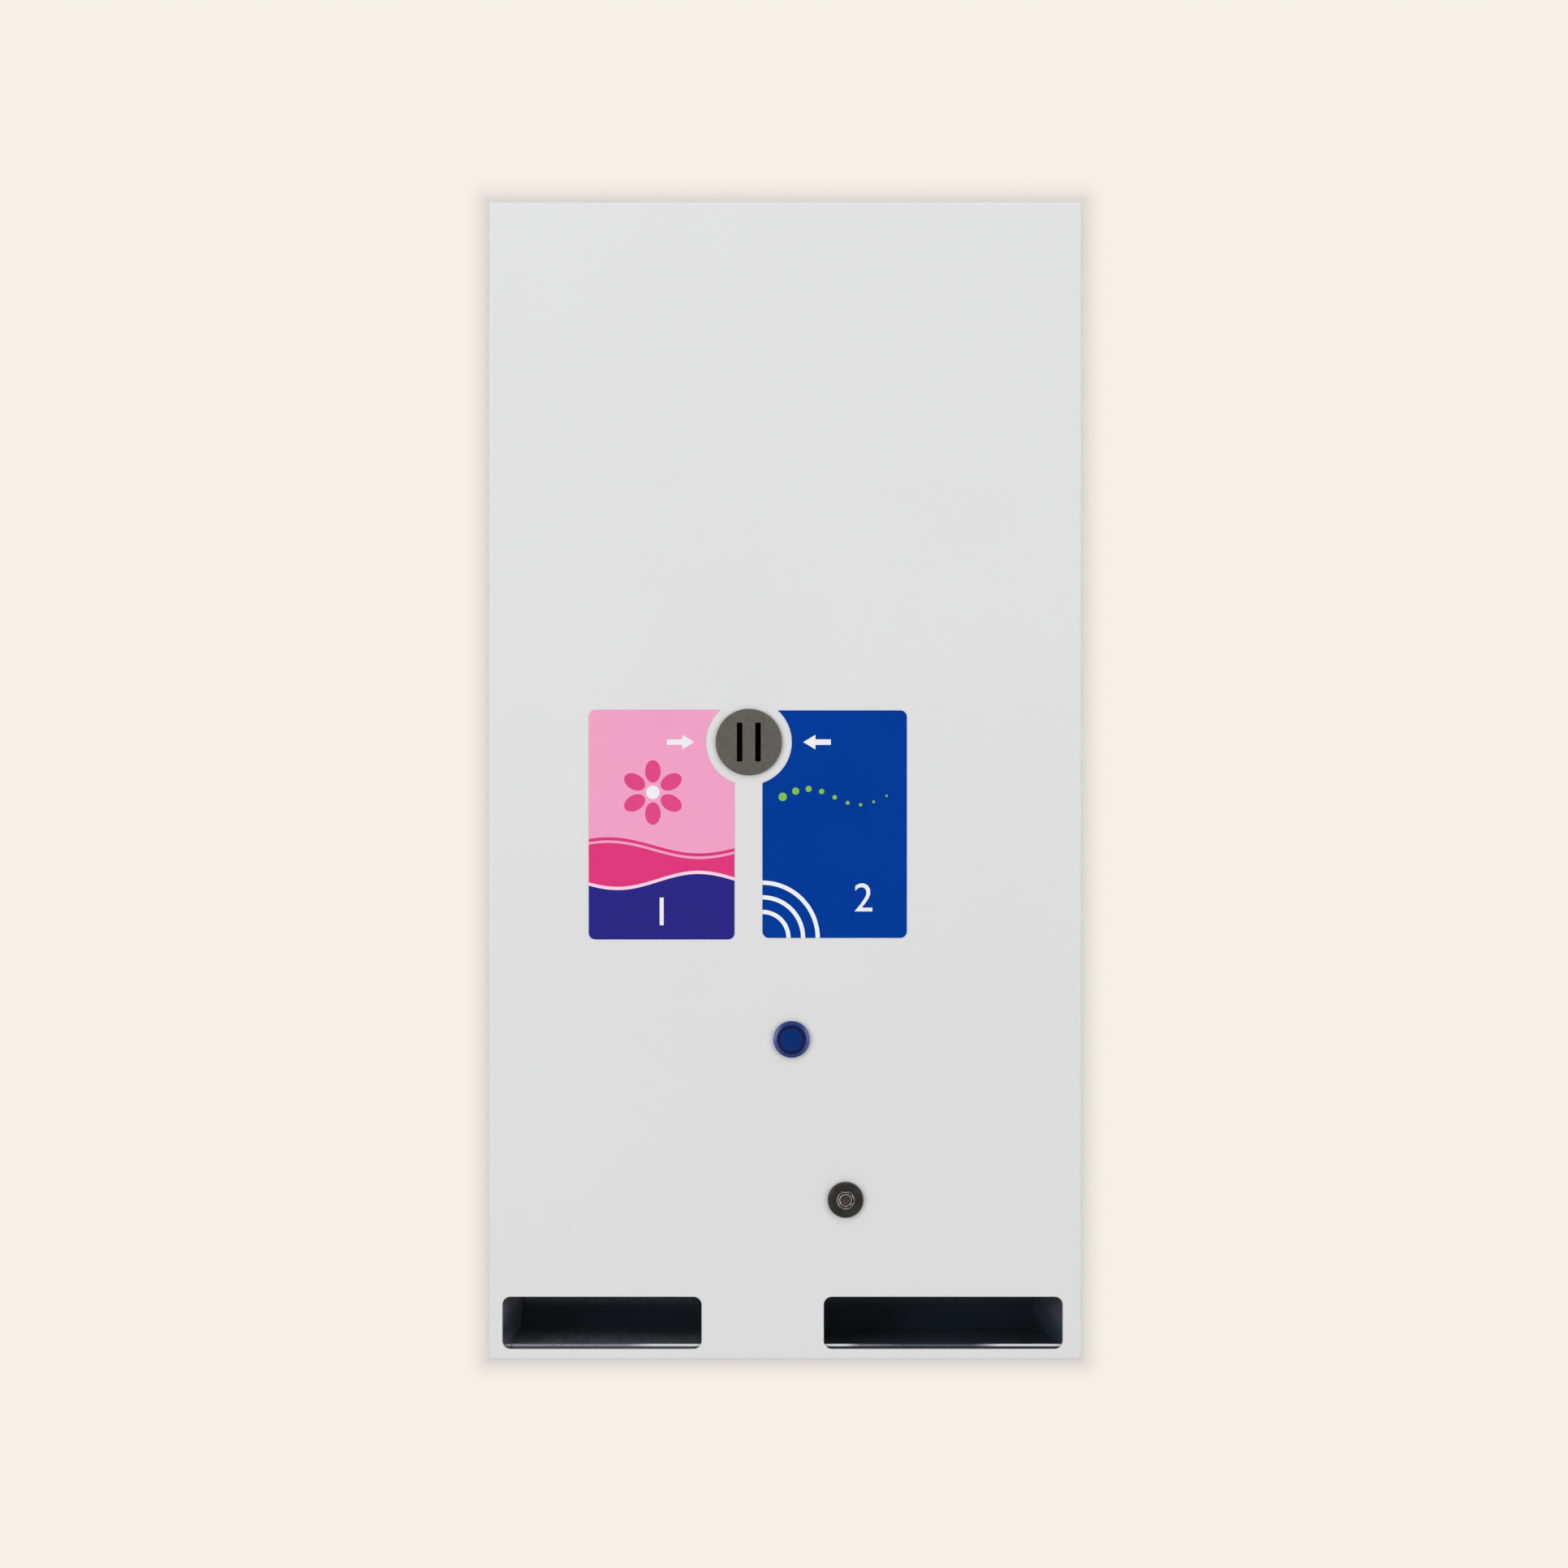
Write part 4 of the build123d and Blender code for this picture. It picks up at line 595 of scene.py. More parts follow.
def makeLabelArt():
    art = labelArt
    coin = corners("coin_plate")[2]
    for stem, side, character, place in art["numerals"]:
        arrow, centre = arrowOutline(*art["arrow"], -side), (coin.x + side * art["arrowGap"], coin.z)
        addPrint(stem, "Arrow", "white_print", printedShape, [arrow], centre)
        centre = onLabel(stem, *place)
        addPrint(stem, "Numeral", "white_print", numeralMesh, character, art["numeral"], centre)
    centre = onLabel("towel", *art["flower"])
    petals = [petalOutline(turn + pi / 2, *art["petal"]) for turn in angles(art["petals"])]
    addPrint("towel", "Flower", "magenta_print", printedShape, petals, centre)
    eye = circleOutline(0, 0, art["eye"], art["eyeSteps"])
    addPrint("towel", "FlowerEye", "white_print", printedShape, [eye], centre)
    beads, (across, up) = [], art["beadStart"]
    for count in range(art["beads"]):
        rise = art["beadWave"] * sin(count * art["beadTurn"])
        place = onLabel("tampon", across + art["beadPitch"] * count, up + rise)
        beads.append(circleOutline(*place, art["bead"] * art["beadShrink"] ** count, art["beadSteps"]))
    addPrint("tampon", "Beads", "green_print", printedShape, beads, (0, 0))


makeLabelArt()
print("label prints laid")


# Shapes for the small parts, drawn about an upright axis and set down at a place
def settled(mesh, centre, axis, spin=0):
    turn = Vector(upwards).rotation_difference(Vector(axis)).to_matrix().to_4x4()
    bmesh.ops.transform(mesh, matrix=Matrix.Translation(spot(*centre)) @ turn @ Matrix.Rotation(spin, 4, "Z")
                        @ Matrix.Scale(mm, 4), verts=mesh.verts)
    bmesh.ops.recalc_face_normals(mesh, faces=mesh.faces)
    return mesh


def ringOf(mesh, radius, rise, steps):
    return [mesh.verts.new((x, y, rise)) for x, y in circleOutline(0, 0, radius, steps)]


def joinRings(mesh, lower, upper):
    for step in range(max(len(lower), len(upper))):
        order = ((lower, step), (lower, step + 1), (upper, step + 1), (upper, step))
        mesh.faces.new(list(dict.fromkeys(ring[place % len(ring)] for ring, place in order)))


# A profile of radius and rise, turned round the axis; a closed one makes a ring
def turned(profile, centre, axis, steps=24, closed=False):
    mesh = bmesh.new()
    rings = [ringOf(mesh, radius, rise, steps) if radius else [mesh.verts.new((0, 0, rise))]
             for radius, rise in profile]
    for lower, upper in zip(rings, rings[1:] + rings[:1] if closed else rings[1:]):
        joinRings(mesh, lower, upper)
    return settled(mesh, centre, axis)


# The profile of a sleeve, or of a rod where inner is nought, with its outer edges broken
def sleeve(inner, outer, start, end, broken=0):
    return list(dict.fromkeys(((inner, start), (outer - broken, start), (outer, start + broken),
                               (outer, end - broken), (outer - broken, end), (inner, end))))


# A bar between two corners, and one about a place on a panel, both with broken edges
def bar(start, end, edge=0.1):
    low, high = (Vector(spot(*map(choice, start, end))) for choice in (min, max))
    shape = Matrix.Translation((low + high) / 2) @ Matrix.Diagonal((*(high - low), 1))
    mesh = bmesh.new()
    bmesh.ops.create_cube(mesh, size=1, matrix=shape)
    bmesh.ops.bevel(mesh, geom=mesh.edges[:], offset=edge * mm, segments=2, profile=0.5, affect="EDGES")
    return mesh


def slab(x, z, half, tall, front, back, edge):
    return bar((x - half, front, z - tall), (x + half, back, z + tall), edge)


def crossRecess(reach, width):
    half = width / 2
    arm = ((reach, -half), (reach, half), (half, half))
    return [rotated(x, z, turn) for turn in angles(4) for x, z in arm]


def slotRecess(reach, width):
    return [(reach * x, width / 2 * z) for x, z in square]


# Domed screw heads: radius, height, recess for the driver, steps round, and the turn that a head
# gets from its place, in radians per metre
screws = dict(column=(3.5, 2.2, crossRecess(1.9, 0.75), 24, (0, 0, 0)),
              cam=(5.5, 2.2, crossRecess(2.9, 1.1), 32, (0, 0, 0)),
              strike=(3.4, 1.9, crossRecess(1.9, 0.75), 24, (0, 0, 0)),
              board=(2.7, 1.5, crossRecess(1.5, 0.6), 24, (9, 0, 0)),
              cover=(2.3, 1.35, slotRecess(1.7, 0.55), 24, (0, 17, 31)),
              weight=(3.2, 1.6, crossRecess(1.7, 0.7), 24, (7, 0, 0)),
              gearbox=(1.9, 1.1, slotRecess(1.4, 0.45), 24, (21, 0, 0)),
              terminal=(1.5, 0.9, slotRecess(1.2, 0.45), 16, (0, 0, 0)),
              switch=(1.5, 0.7, slotRecess(1.2, 0.4), 16, (0, 0, 0)))
dome = ((1, 0), (1, 0.35), (0.95, 0.68), (0.84, 0.88), (0.68, 1))  # shares of radius and height
recessFloor = 0.4  # share of the height


def screwHead(kind, centre, axis, spin=0):
    radius, height, recess, steps, turn = screws[kind]
    mesh = bmesh.new()
    rings = [ringOf(mesh, radius * share, height * rise, steps) for share, rise in dome]
    for lower, upper in zip(rings, rings[1:]):
        joinRings(mesh, lower, upper)
    mesh.faces.new(rings[0])
    top, floor = ([mesh.verts.new((x, z, height * share)) for x, z in recess] for share in (1, recessFloor))
    rim = [mesh.edges.new(pair) for pair in zip(top, top[1:] + top[:1])]
    crown = [mesh.edges.get(pair) for pair in zip(rings[-1], rings[-1][1:] + rings[-1][:1])]
    bmesh.ops.triangle_fill(mesh, use_beauty=True, edges=rim + crown)
    joinRings(mesh, top, floor)
    mesh.faces.new(floor)
    return settled(mesh, centre, axis, spin + Vector(turn).dot(Vector(spot(*centre))))


# The same inset from two ends, and which way each looks
def bothEnds(low, high, inset=0):
    return (low + inset, -1), (high - inset, 1)


# Rims of the lock's ring groove, worn bright in broken arcs
lockRims = dict(radii=(3.68, 4.98), wire=0.23, rise=-0.06, sides=8, steps=56)


def makeLockRims(look):
    low, high, middle = corners("lock_plug")
    rims = [turned(circleOutline(radius, look["rise"], look["wire"], look["sides"]),
                   (middle.x, low.y, middle.z), toFront, look["steps"], closed=True)
            for radius in look["radii"]]
    addPiece("lockRims", rims, "rim_chrome", "lock_plug", "lock_chrome", smooth=True)


# Screws: the column screws and the cam screw stand for their plain nodes, the others are extra
screwPlaces = dict(rows=4, rowSpin=0.4, sideSpin=0.9, camSpin=0.3, strikeBehind=8,
                   strikes=((6, 1.8), (17, 5.1)), boardInset=5, coverInset=5, coverFront=7, coverSheet=1.2,
                   weightInset=12, gearboxInset=(3.2, 3.6))


# Two heads side by side, at the same inset from a node's ends
def headPair(kind, low, high, inset, y, z, axis):
    return [screwHead(kind, (x, y, z), axis) for x, hand in bothEnds(low.x, high.x, inset)]


def makeScrews(look):
    low, high, middle = corners("column_screws")
    radius = screws["column"][0]
    step = (high.z - low.z - 2 * radius) / (look["rows"] - 1)
    heads = [screwHead("column", (x, high.y, low.z + radius + step * row), toFront,
                       look["rowSpin"] * row + look["sideSpin"] * hand)
             for row in range(look["rows"]) for x, hand in bothEnds(low.x, high.x, radius)]
    piece = addPiece("columnScrewHeads", heads, "screw_steel")
    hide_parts("column_screws")
    low, high, middle = corners("cam_screw")
    head = screwHead("cam", (middle.x, high.y - screws["cam"][1], middle.z), toBack, look["camSpin"])
    piece = addPiece("camScrewHead", [head], "screw_steel", "lock_plug")
    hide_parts("cam_screw")
    low, high, middle = corners("lock_strike")
    y = corners("tampon_column")[0].y + look["strikeBehind"]
    heads = [screwHead("strike", (low.x, y, high.z - drop), (-1, 0, 0), spin)
             for drop, spin in look["strikes"]]
    addPiece("strikeScrewHeads", heads, "screw_steel")
    low, high, middle = corners("control_board")
    heads = headPair("board", low, high, look["boardInset"], low.y, high.z - look["boardInset"], toFront)
    addPiece("boardScrewHeads", heads, "screw_steel")
    low, high, middle = corners("coin_mech_covers")
    front = corners("front_door")[0].y + look["coverFront"]
    heads = [screwHead("cover", (x, y, z), (hand, 0, 0))
             for x, hand in bothEnds(low.x, high.x, look["coverSheet"])
             for y, far in bothEnds(front, high.y, look["coverInset"])
             for z, up in bothEnds(low.z, high.z, look["coverInset"])]
    addPiece("coinCoverScrewHeads", heads, "screw_steel", "door")


# Rivets of the hinge leaves, set off from the edges of the sheets behind them
hingeRivets = dict(profile=((0, 0.9), (0.9, 0.86), (1.6, 0.6), (2, 0.2), (2.1, 0), (0, 0)), steps=16,
                   pitch=60, count=11, casing=(-0.9, -5.5), door=(2.5, 7))


def makeRivets(look):
    edges = {"casing": (corners("back_casing")[0].x, corners("casing_hinge_leaf")[1].y, -1),
             "door": (corners("front_door")[0].x, corners("door_hinge_leaf")[0].y, 1)}
    for body, (x, y, hand) in edges.items():
        aside, behind = look[body]
        levels = [(step - (look["count"] - 1) / 2) * look["pitch"] for step in range(look["count"])]
        rivets = [turned(look["profile"], (x + aside, y + behind, z), (hand, 0, 0), look["steps"])
                  for z in levels]
        addPiece(body + "HingeRivets", rivets, "steel_part", body, smooth=True)


def makeProductScrews(look, product):
    low, high, middle = corners(product + "_weight")
    heads = headPair("weight", low, high, look["weightInset"], middle.y, high.z, upwards)
    addPiece(product + "WeightScrewHeads", heads, "screw_steel", product + "_follower")
    low, high, middle = corners(product + "_motor")
    aside, above = look["gearboxInset"]
    heads = headPair("gearbox", low, high, aside, low.y, low.z + above, toFront)
    addPiece(product + "GearboxScrewHeads", heads, "screw_steel")


# Spot welds in the cash box's sides
welds = dict(profile=((0, 0.02), (1.4, 0.03), (1.9, 0.12), (2.3, 0.12), (2.7, 0), (0, 0)),
             levels=(10, 52, 96, 140), inset=5)


def makeWelds(look):
    low, high, middle = corners("cash_box")
    marks = [turned(look["profile"], (x, high.y - look["inset"], low.z + rise), (hand, 0, 0))
             for x, hand in bothEnds(low.x, high.x) for rise in look["levels"]]
    addPiece("cashBoxWelds", marks, "zinc_sheet", "cash_box", smooth=True)


makeLockRims(lockRims)
makeScrews(screwPlaces)
makeRivets(hingeRivets)
makeProductScrews(screwPlaces, "towel")
makeProductScrews(screwPlaces, "tampon")
makeWelds(welds)
print("fasteners made")


# The control board's tracks fan out from the terminals, and short ones join the resistors' upper ends
poles = dict(count=12, start=-33, pitch=6)
tracks = dict(width=0.8, thin=0.56, rise=0.04, foot=10.2, low=13.5, tops=(60, 66, 72), squeeze=0.74, shift=-6)
pads = dict(radius=1.05, steps=12, rise=0.06, pole=11.4)


def polePlaces():
    return [poles["start"] + count * poles["pitch"] for count in range(poles["count"])]


def makeTracks(look, front, floor, leadEnds):
    stripes, dots = [], []
    for pole, start in enumerate(polePlaces()):
        end = start * look["squeeze"] + look["shift"]
        bend, top = look["low"] + abs(end - start), look["tops"][pole % len(look["tops"])]
        route = [(start, look["foot"]), (start, look["low"]), (end, bend), (end, top)]
        stripes.append(stripeOutline(route, look["width"]))
        dots += [(end, top), (start, pads["pole"])]
    for first, second in zip(leadEnds[1::2], leadEnds[3::2]):
        if first[1] == second[1]:
            stripes.append(stripeOutline([first, second], look["thin"]))
    dots = [circleOutline(*place, pads["radius"], pads["steps"]) for place in dots + leadEnds]
    stripes, dots = (printedShape(shapes, (0, floor), front, rise)
                     for shapes, rise in ((stripes, look["rise"]), (dots, pads["rise"])))
    addPiece("boardTracks", [stripes], "track_green", slotName="board_green")
    addPiece("boardPads", [dots], "tinned", slotName="screw_steel")


resistors = dict(count=6, first=-36, pitch=4.6, rows=(138, 153), rise=1.6, steps=12,
                 body=((0, -3.2), (0.75, -3.1), (1.15, -2.7), (1.15, -1.9), (0.92, -1.5), (0.92, 1.5),
                       (1.15, 1.9), (1.15, 2.7), (0.75, 3.1), (0, 3.2)),
                 bands=(-0.9, 0, 0.9), bandRadii=(0.86, 0.96), bandHalf=0.21,
                 lead=0.3, start=3, bend=(4.5, 0.35), end=4.9)


# Resistor bodies with their bands; their leads are returned
def makeResistors(look, front, places):
    bodies, bands, leads = [], [], []
    y, (bend, drop) = front - look["rise"], look["bend"]
    for x, row in places:
        bodies.append(turned(look["body"], (x, y, row), upwards, look["steps"]))
        for level in look["bands"]:
            ring = sleeve(*look["bandRadii"], level - look["bandHalf"], level + look["bandHalf"])
            bands.append(turned(ring, (x, y, row), upwards, look["steps"], closed=True))
        for side in (-1, 1):
            start, out, end = (row + side * along for along in (look["start"], bend, look["end"]))
            path = [(x, y, start), (x, y, out), (x, y + drop, end), (x, front, end)]
            leads.append(wire(path, look["lead"]))
    addPiece("boardResistors", bodies, "tan_ceramic", slotName="nylon", smooth=True)
    addPiece("resistorBands", bands, "red_lens", slotName="nylon", smooth=True)
    return leads


fuse = dict(place=(-19, -15, 218), half=10, cap=5, radius=2.6, edge=0.3, glass=(2.35, 9), clipHalf=1.7,
            clipSheet=0.15, clipFront=1.4, clipEdge=0.08)


# The fuse's glass; its caps and clips are returned
def makeFuse(front, place, half, cap, radius, edge, glass, clipHalf, clipSheet, clipFront, clipEdge):
    tube = turned(sleeve(0, glass[0], -glass[1], glass[1]), place, (1, 0, 0))
    addPiece("boardFuse", [tube], "nylon", smooth=True)
    caps = [turned(sleeve(0, radius, start, start + cap, edge), place, (1, 0, 0))
            for start in (-half, half - cap)]
    x, y, z = place
    return caps + [slab(x + side * (half - cap / 2), z + up * (radius + clipSheet), clipHalf, clipSheet,
                        y - clipFront, front, clipEdge) for side in (-1, 1) for up in (-1, 1)]


pins = dict(count=12, pitch=2.54, reach=0.9, half=0.28, broad=0.532, sheet=0.28, drop=2.1, edge=0.05)


def makePins(front, count, pitch, reach, half, broad, sheet, drop, edge):
    low, high, middle = corners("board_chips")
    legs, back = [], front - drop
    for side, hand in bothEnds(low.x, high.x):
        out = side + hand * reach
        for step in range(count):
            z = middle.z + (step - (count - 1) / 2) * pitch
            for start, end, wide in ((side, back, broad), (out - hand * sheet, front, half)):
                legs.append(bar((start, back - sheet, z - wide), (out, end, z + wide), edge))
    addPiece("chipPins", legs, "tinned", slotName="screw_steel")


# A crystal, a lamp, the capacitors' tops and the terminals' screws
boardRest = dict(crystal=((-3.5, -14.5, 141), (7.5, -10.75, 145.8), 1.1), lampPlace=(24, 220), lampSteps=20,
                 lamp=((0, 0), (1.9, 0), (1.9, 0.8), (1.5, 0.9), (1.5, 2.4), (1.35, 3.1), (0.9, 3.6),
                       (0, 3.9)), capacitors=((-28, 175), (-14, 175), (0, 175)),
                 top=((0, 0.05), (3.3, 0.05), (3.8, 0.14), (4.25, 0), (0, 0)), mouthDepth=5, spin=0.7)


def makeBoard(look):
    low = corners("control_board")[0]
    places = [(resistors["first"] + resistors["pitch"] * count, row)
              for row in resistors["rows"] for count in range(resistors["count"])]
    leadEnds = [(x, row - low.z + side * resistors["end"]) for x, row in places for side in (-1, 1)]
    makeTracks(tracks, low.y, low.z, leadEnds)
    metal = makeResistors(resistors, low.y, places) + makeFuse(low.y, **fuse) + [bar(*look["crystal"])]
    addPiece("boardMetalParts", metal, "tinned", slotName="screw_steel")
    x, z = look["lampPlace"]
    lamp = turned(look["lamp"], (x, low.y, z), toFront, look["lampSteps"])
    addPiece("boardLamp", [lamp], "red_lens", slotName="relay_blue", smooth=True)
    makePins(low.y, **pins)
    y = corners("board_capacitors")[0].y
    tops = [turned(look["top"], (x, y, z), toFront) for x, z in look["capacitors"]]
    addPiece("capacitorTops", tops, "tinned", slotName="screw_steel", smooth=True)
    low, high, middle = corners("board_terminals")
    heads = [screwHead("terminal", (x, low.y + look["mouthDepth"], middle.z), toFront, pole * look["spin"])
             for pole, x in enumerate(polePlaces())]
    addPiece("terminalScrewHeads", heads, "brass")


# Ties and clips that hold the loom; head, clip and foot are half widths and half heights
loomHold = dict(tie=(1.78, 2.25, -1.1, 1.1), steps=20, head=(1.5, 1.3), headFront=3.6, headBack=2.1, edge=0.3,
                middleLevels=(-40, 20, 80), sideX=44.5, sideLevels=(50, -30, -90, -150, -210, -300),
                acrossX=60, acrossZ=-340.3, clipLevels=(0, -60, -180, -240), clip=(2.6, 3), clipFront=2.6,
                clipEdge=0.5, foot=(3.2, 5), footSheet=1.4, wall=-2.4)


def makeLoomHold(tie, steps, head, headFront, headBack, edge, middleLevels, sideX, sideLevels, acrossX,
                 acrossZ, clipLevels, clip, clipFront, clipEdge, foot, footSheet, wall):
    y = corners("cable_loom")[2].y
    spots = [(0, z, upwards) for z in middleLevels]
    spots += [(x, z, upwards) for x in (-sideX, sideX) for z in sideLevels]
    spots += [(x, acrossZ, (1, 0, 0)) for x in (-acrossX, acrossX)]
    ties, clips = [], []
    for x, z, axis in spots:
        ties.append(turned(sleeve(*tie), (x, y, z), axis, steps, closed=True))
        ties.append(slab(x, z, *head, y - headFront, y - headBack, edge))
    for x in (-sideX, sideX):
        for z in clipLevels:
            clips.append(slab(x, z, *clip, y - clipFront, wall, clipEdge))
            clips.append(slab(x, z, *foot, wall - footSheet, wall, edge))
    addPiece("loomTies", ties, "black_plastic")
    addPiece("loomClips", clips, "nylon")


# Solenoid of the coin gate: an open frame round a taped coil, in the place of the plain block
solenoid = dict(sheet=1.5, edge=0.2, radius=6.9, flange=1.2, steps=32, narrow=6.2, wide=6.45, rise=0.8,
                plunger=2.6, inside=1, reach=6,
                tip=((2.6, 3.2), (1.8, 2.8), (1.8, 1.8), (2.6, 1.4), (2.6, 0.4), (2.2, 0), (0, 0)))


def makeSolenoid(sheet, edge, radius, flange, steps, narrow, wide, rise, plunger, inside, reach, tip):
    low, high, middle = corners("gate_solenoid")
    bottom, top = low.z + sheet, high.z - sheet
    plates = [bar((high.x - sheet, low.y, low.z), high, edge), bar((low.x, low.y, top), high, edge),
              bar(low, (high.x, high.y, bottom), edge)]
    piece = addPiece("solenoidFrame", plates, "motor_metal", "door")
    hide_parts("gate_solenoid")
    axle = (middle.x - sheet / 2, middle.y, 0)
    bobbin = [turned(sleeve(0, radius, start, start + flange), axle, upwards, steps)
              for start in (bottom, top - flange)]
    addPiece("solenoidBobbin", bobbin, "nylon", "door")
    bottom, top = bottom + flange, top - flange
    coil = turned(((0, bottom), (narrow, bottom), (wide, bottom + rise), (wide, top - rise), (narrow, top),
                   (0, top)), axle, upwards, steps)
    addPiece("solenoidCoil", [coil], "amber_tape", "door", "cable_jacket", smooth=True)
    start, end = low.z + inside, low.z - reach
    rod = [(0, start), (plunger, start)] + [(out, end + up) for out, up in tip]
    addPiece("solenoidPlunger", [turned(rod, axle, upwards)], "screw_steel", "door")


# Two small switches on the coin mechanism's covers, with levers and tabs
coinSwitches = dict(coverSheet=1.2, deep=6.4, front=-122, rear=-112, bottom=-32, top=-12, edge=0.5,
                    sheet=0.35, half=2.1, gap=1.5, foot=-33, head=-15, tab=(1.5, 0.3), tabReach=5,
                    tabEdge=0.08, tabLevels=(4, 10, 16), screwY=-115.2, screwLevels=(5.2, 14.8))


def makeCoinSwitches(coverSheet, deep, front, rear, bottom, top, edge, sheet, half, gap, foot, head, tab,
                     tabReach, tabEdge, tabLevels, screwY, screwLevels):
    low, high, middle = corners("coin_mech_covers")
    bodies, metal, tabs = [], [], []
    for face, hand in bothEnds(low.x, high.x, coverSheet):
        out = face + hand * deep
        x = (face + out) / 2
        bodies.append(bar((face, front, bottom), (out, rear, top), edge))
        for near, below in ((front - gap, foot), (front, head - sheet)):
            metal.append(bar((x - half, front - gap - sheet, below), (x + half, near, head)))
        for level in screwLevels:
            metal.append(screwHead("switch", (out, screwY, bottom + level), (hand, 0, 0), level))
        for level in tabLevels:
            tabs.append(slab(x, bottom + level, *tab, rear, rear + tabReach, tabEdge))
    addPiece("coinSwitches", bodies, "black_plastic", "door")
    addPiece("coinSwitchLevers", metal, "steel_part", "door")
    addPiece("coinSwitchTabs", tabs, "brass", "door")


# A drawn sleeve round each motor's can
motorSleeve = dict(profile=(11.95, 12.5, -3.4, 3.4, 0.2), y=-24.6, steps=40)


def makeMotorSleeves(profile, y, steps):
    for product in ("towel", "tampon"):
        middle = corners(product + "_motor")[2]
        ring = turned(sleeve(*profile), (middle.x, y, middle.z), toBack, steps, closed=True)
        addPiece(product + "MotorSleeve", [ring], "zinc_sheet")


# Return spring of the button: it stands for the plain one
returnSpring = dict(radius=4.2, wire=0.4, turns=5.5, steps=22, keep=0.69)


def makeReturnSpring(look):
    low, high, middle = corners("button_spring")
    x, z = middle.x, middle.z
    thick, steps = look["wire"], look["steps"]
    front, rear, count = low.y + thick, high.y - thick, int(look["turns"] * steps)
    points = []
    for step in range(count + 1):
        aside, rise = rotated(look["radius"], 0, 2 * pi * step / steps)
        points.append((x + aside, front + (rear - front) * step / count, z + rise))
    piece = addPiece("returnSpring", [wire(points, thick)], "steel_part", "door", smooth=True)
    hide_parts("button_spring")
    spot(x, high.y, z)
    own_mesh(piece)


makeReturnSpring(returnSpring)
makeBoard(boardRest)
makeLoomHold(**loomHold)
makeSolenoid(**solenoid)
makeCoinSwitches(**coinSwitches)
makeMotorSleeves(**motorSleeve)
print("inside parts made")


# Stage, in metres: a cream wall that only shows from its front, with a painted shadow round the machine,
# a pale floor, soft lamps and the camera
studio = dict(cream=(0.913, 0.879, 0.807), halo=(0.685, 0.657, 0.615), haloHalf=spot(202.1, 394.4),
              haloReach=19 * mm, haloFall=2.2, wallHalf=7, wallBehind=2 * mm, floorLevel=-1.15,
              floorColour=(0.80, 0.78, 0.74), floorGlow=0.6, worldGrey=(0.52, 0.52, 0.53))


def addRays(tree, *kinds):
    path = addNode(tree, "ShaderNodeLightPath")
    return [Field(tree, path.outputs["Is " + kind + " Ray"]) for kind in kinds]


def mixShader(tree, amount, first, second):
    return addNode(tree, "ShaderNodeMixShader", {0: amount, 1: first.outputs[0], 2: second.outputs[0]})


def makeWallLook():
    material, tree = newTree(bpy.data.materials, "creamWall")
    x, y, z = places(tree)
    # Painted shadow: the wall's cream darkens close round the machine's outline and fades outwards
    past = [(abs(axis) - half).larger(0) for axis, half in zip((x, z), studio["haloHalf"])]
    near = (1 - distance(*past) / studio["haloReach"]).clamped()
    shown = mixColour(tree, near ** studio["haloFall"], studio["cream"], studio["halo"])
    glow = addNode(tree, "ShaderNodeEmission", {"Color": shown, "Strength": 1})
    matt = addNode(tree, "ShaderNodeBsdfDiffuse", {"Color": studio["cream"]})
    camera, glossy, through = addRays(tree, "Camera", "Glossy", "Transmission")
    front = mixShader(tree, camera.larger(glossy.larger(through)), matt, glow)
    back = addNode(tree, "ShaderNodeNewGeometry").outputs["Backfacing"]
    whole = mixShader(tree, back, front, addNode(tree, "ShaderNodeBsdfTransparent"))
    addNode(tree, "ShaderNodeOutputMaterial", {"Surface": whole.outputs[0]})
    return material


def makeFloorLook():
    material, tree = newTree(bpy.data.materials, "paleFloor")
    matt = addNode(tree, "ShaderNodeBsdfDiffuse", {"Color": studio["floorColour"]})
    glow = addNode(tree, "ShaderNodeEmission", {"Color": studio["cream"], "Strength": 1})
    camera, = addRays(tree, "Camera")
    whole = mixShader(tree, camera * studio["floorGlow"], matt, glow)
    addNode(tree, "ShaderNodeOutputMaterial", {"Surface": whole.outputs[0]})
    return material


def addSheet(name, points, material):
    mesh = bpy.data.meshes.new(name)
    mesh.from_pydata(points, [], [(0, 1, 2, 3)])
    mesh.materials.append(material)
    sheet = newObject(name, mesh)
    sheet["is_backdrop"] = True
    return sheet


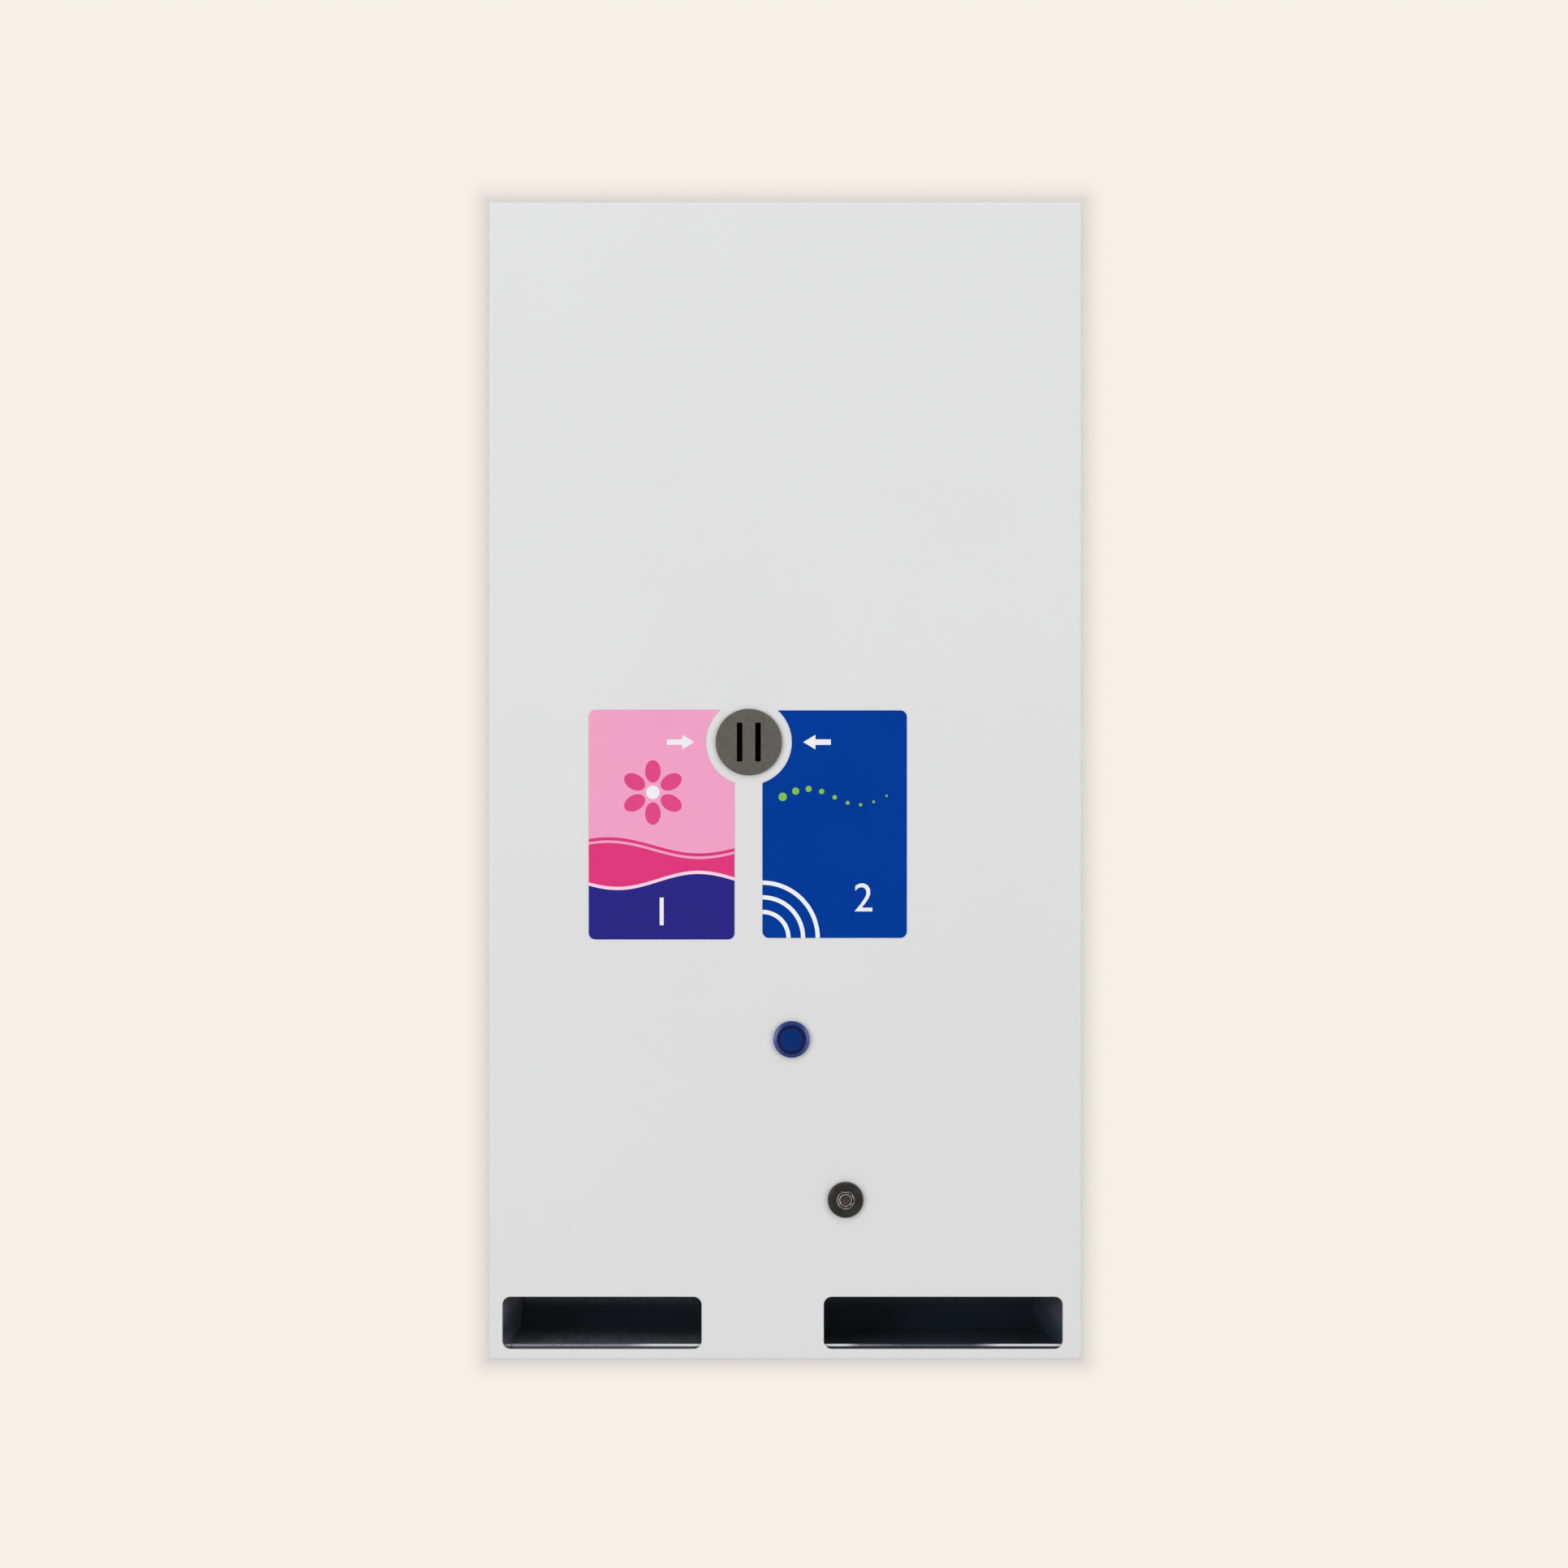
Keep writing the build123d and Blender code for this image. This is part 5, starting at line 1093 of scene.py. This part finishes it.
def makeStage():
    half, floor = studio["wallHalf"], studio["floorLevel"]
    upright = [(half * x, studio["wallBehind"], max(half * z, floor)) for x, z in square]
    wall = addSheet("wall", upright, makeWallLook())
    wall.visible_shadow = wall.visible_diffuse = False
    addSheet("floor", [(half * x, half * y, floor) for x, y in square], makeFloorLook())


lamps = {
    "keyLeft": dict(place=(-1.8, -2, 0.35), size=(1.1, 1.6), watts=23),
    "fillRight": dict(place=(1.9, -1.9, 0.1), size=(1.1, 1.6), watts=15.6),
    "topSoft": dict(place=(0.35, -1.3, 1.7), size=(0.9, 0.35), watts=7),
    "backLow": dict(place=(0.6, 1.9, 0.7), size=(1.6, 1.6), watts=10),
}
lampAim = (0, -0.1, 0)


def makeLamps():
    for name, lamp in lamps.items():
        data = bpy.data.lights.new(name, "AREA")
        data.shape, data.size, data.size_y = "RECTANGLE", *lamp["size"]
        data.energy = lamp["watts"]
        item = newObject(name, data)
        item.location = lamp["place"]
        item.rotation_euler = (Vector(lampAim) - item.location).to_track_quat("-Z", "Y").to_euler()


def makeWorld():
    world, tree = newTree(bpy.data.worlds, "studio")
    bpy.context.scene.world = world
    light, seen = (addNode(tree, "ShaderNodeBackground", {"Color": studio[name], "Strength": 1})
                   for name in ("worldGrey", "cream"))
    camera, = addRays(tree, "Camera")
    addNode(tree, "ShaderNodeOutputWorld", {"Surface": mixShader(tree, camera, light, seen).outputs[0]})


# The view is 966 mm wide at the door's face, and its middle is just left of and below the origin
lens = dict(centre=spot(-0.75, -2), distance=1.5, viewWidth=966 * mm, sensor=36)


def makeCamera():
    data = bpy.data.cameras.new("camera")
    data.sensor_width = lens["sensor"]
    data.lens = lens["sensor"] * lens["distance"] / lens["viewWidth"]
    camera = newObject("camera", data)
    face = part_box("front_door")[0].y
    camera.location = (lens["centre"][0], face - lens["distance"], lens["centre"][1])
    camera.rotation_euler = (pi / 2, 0, 0)
    bpy.context.scene.camera = camera
    bpy.context.scene.view_settings.view_transform = "Standard"


makeStage()
makeLamps()
makeWorld()
makeCamera()
print("stage, lamps and camera set")

modelLow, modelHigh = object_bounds()
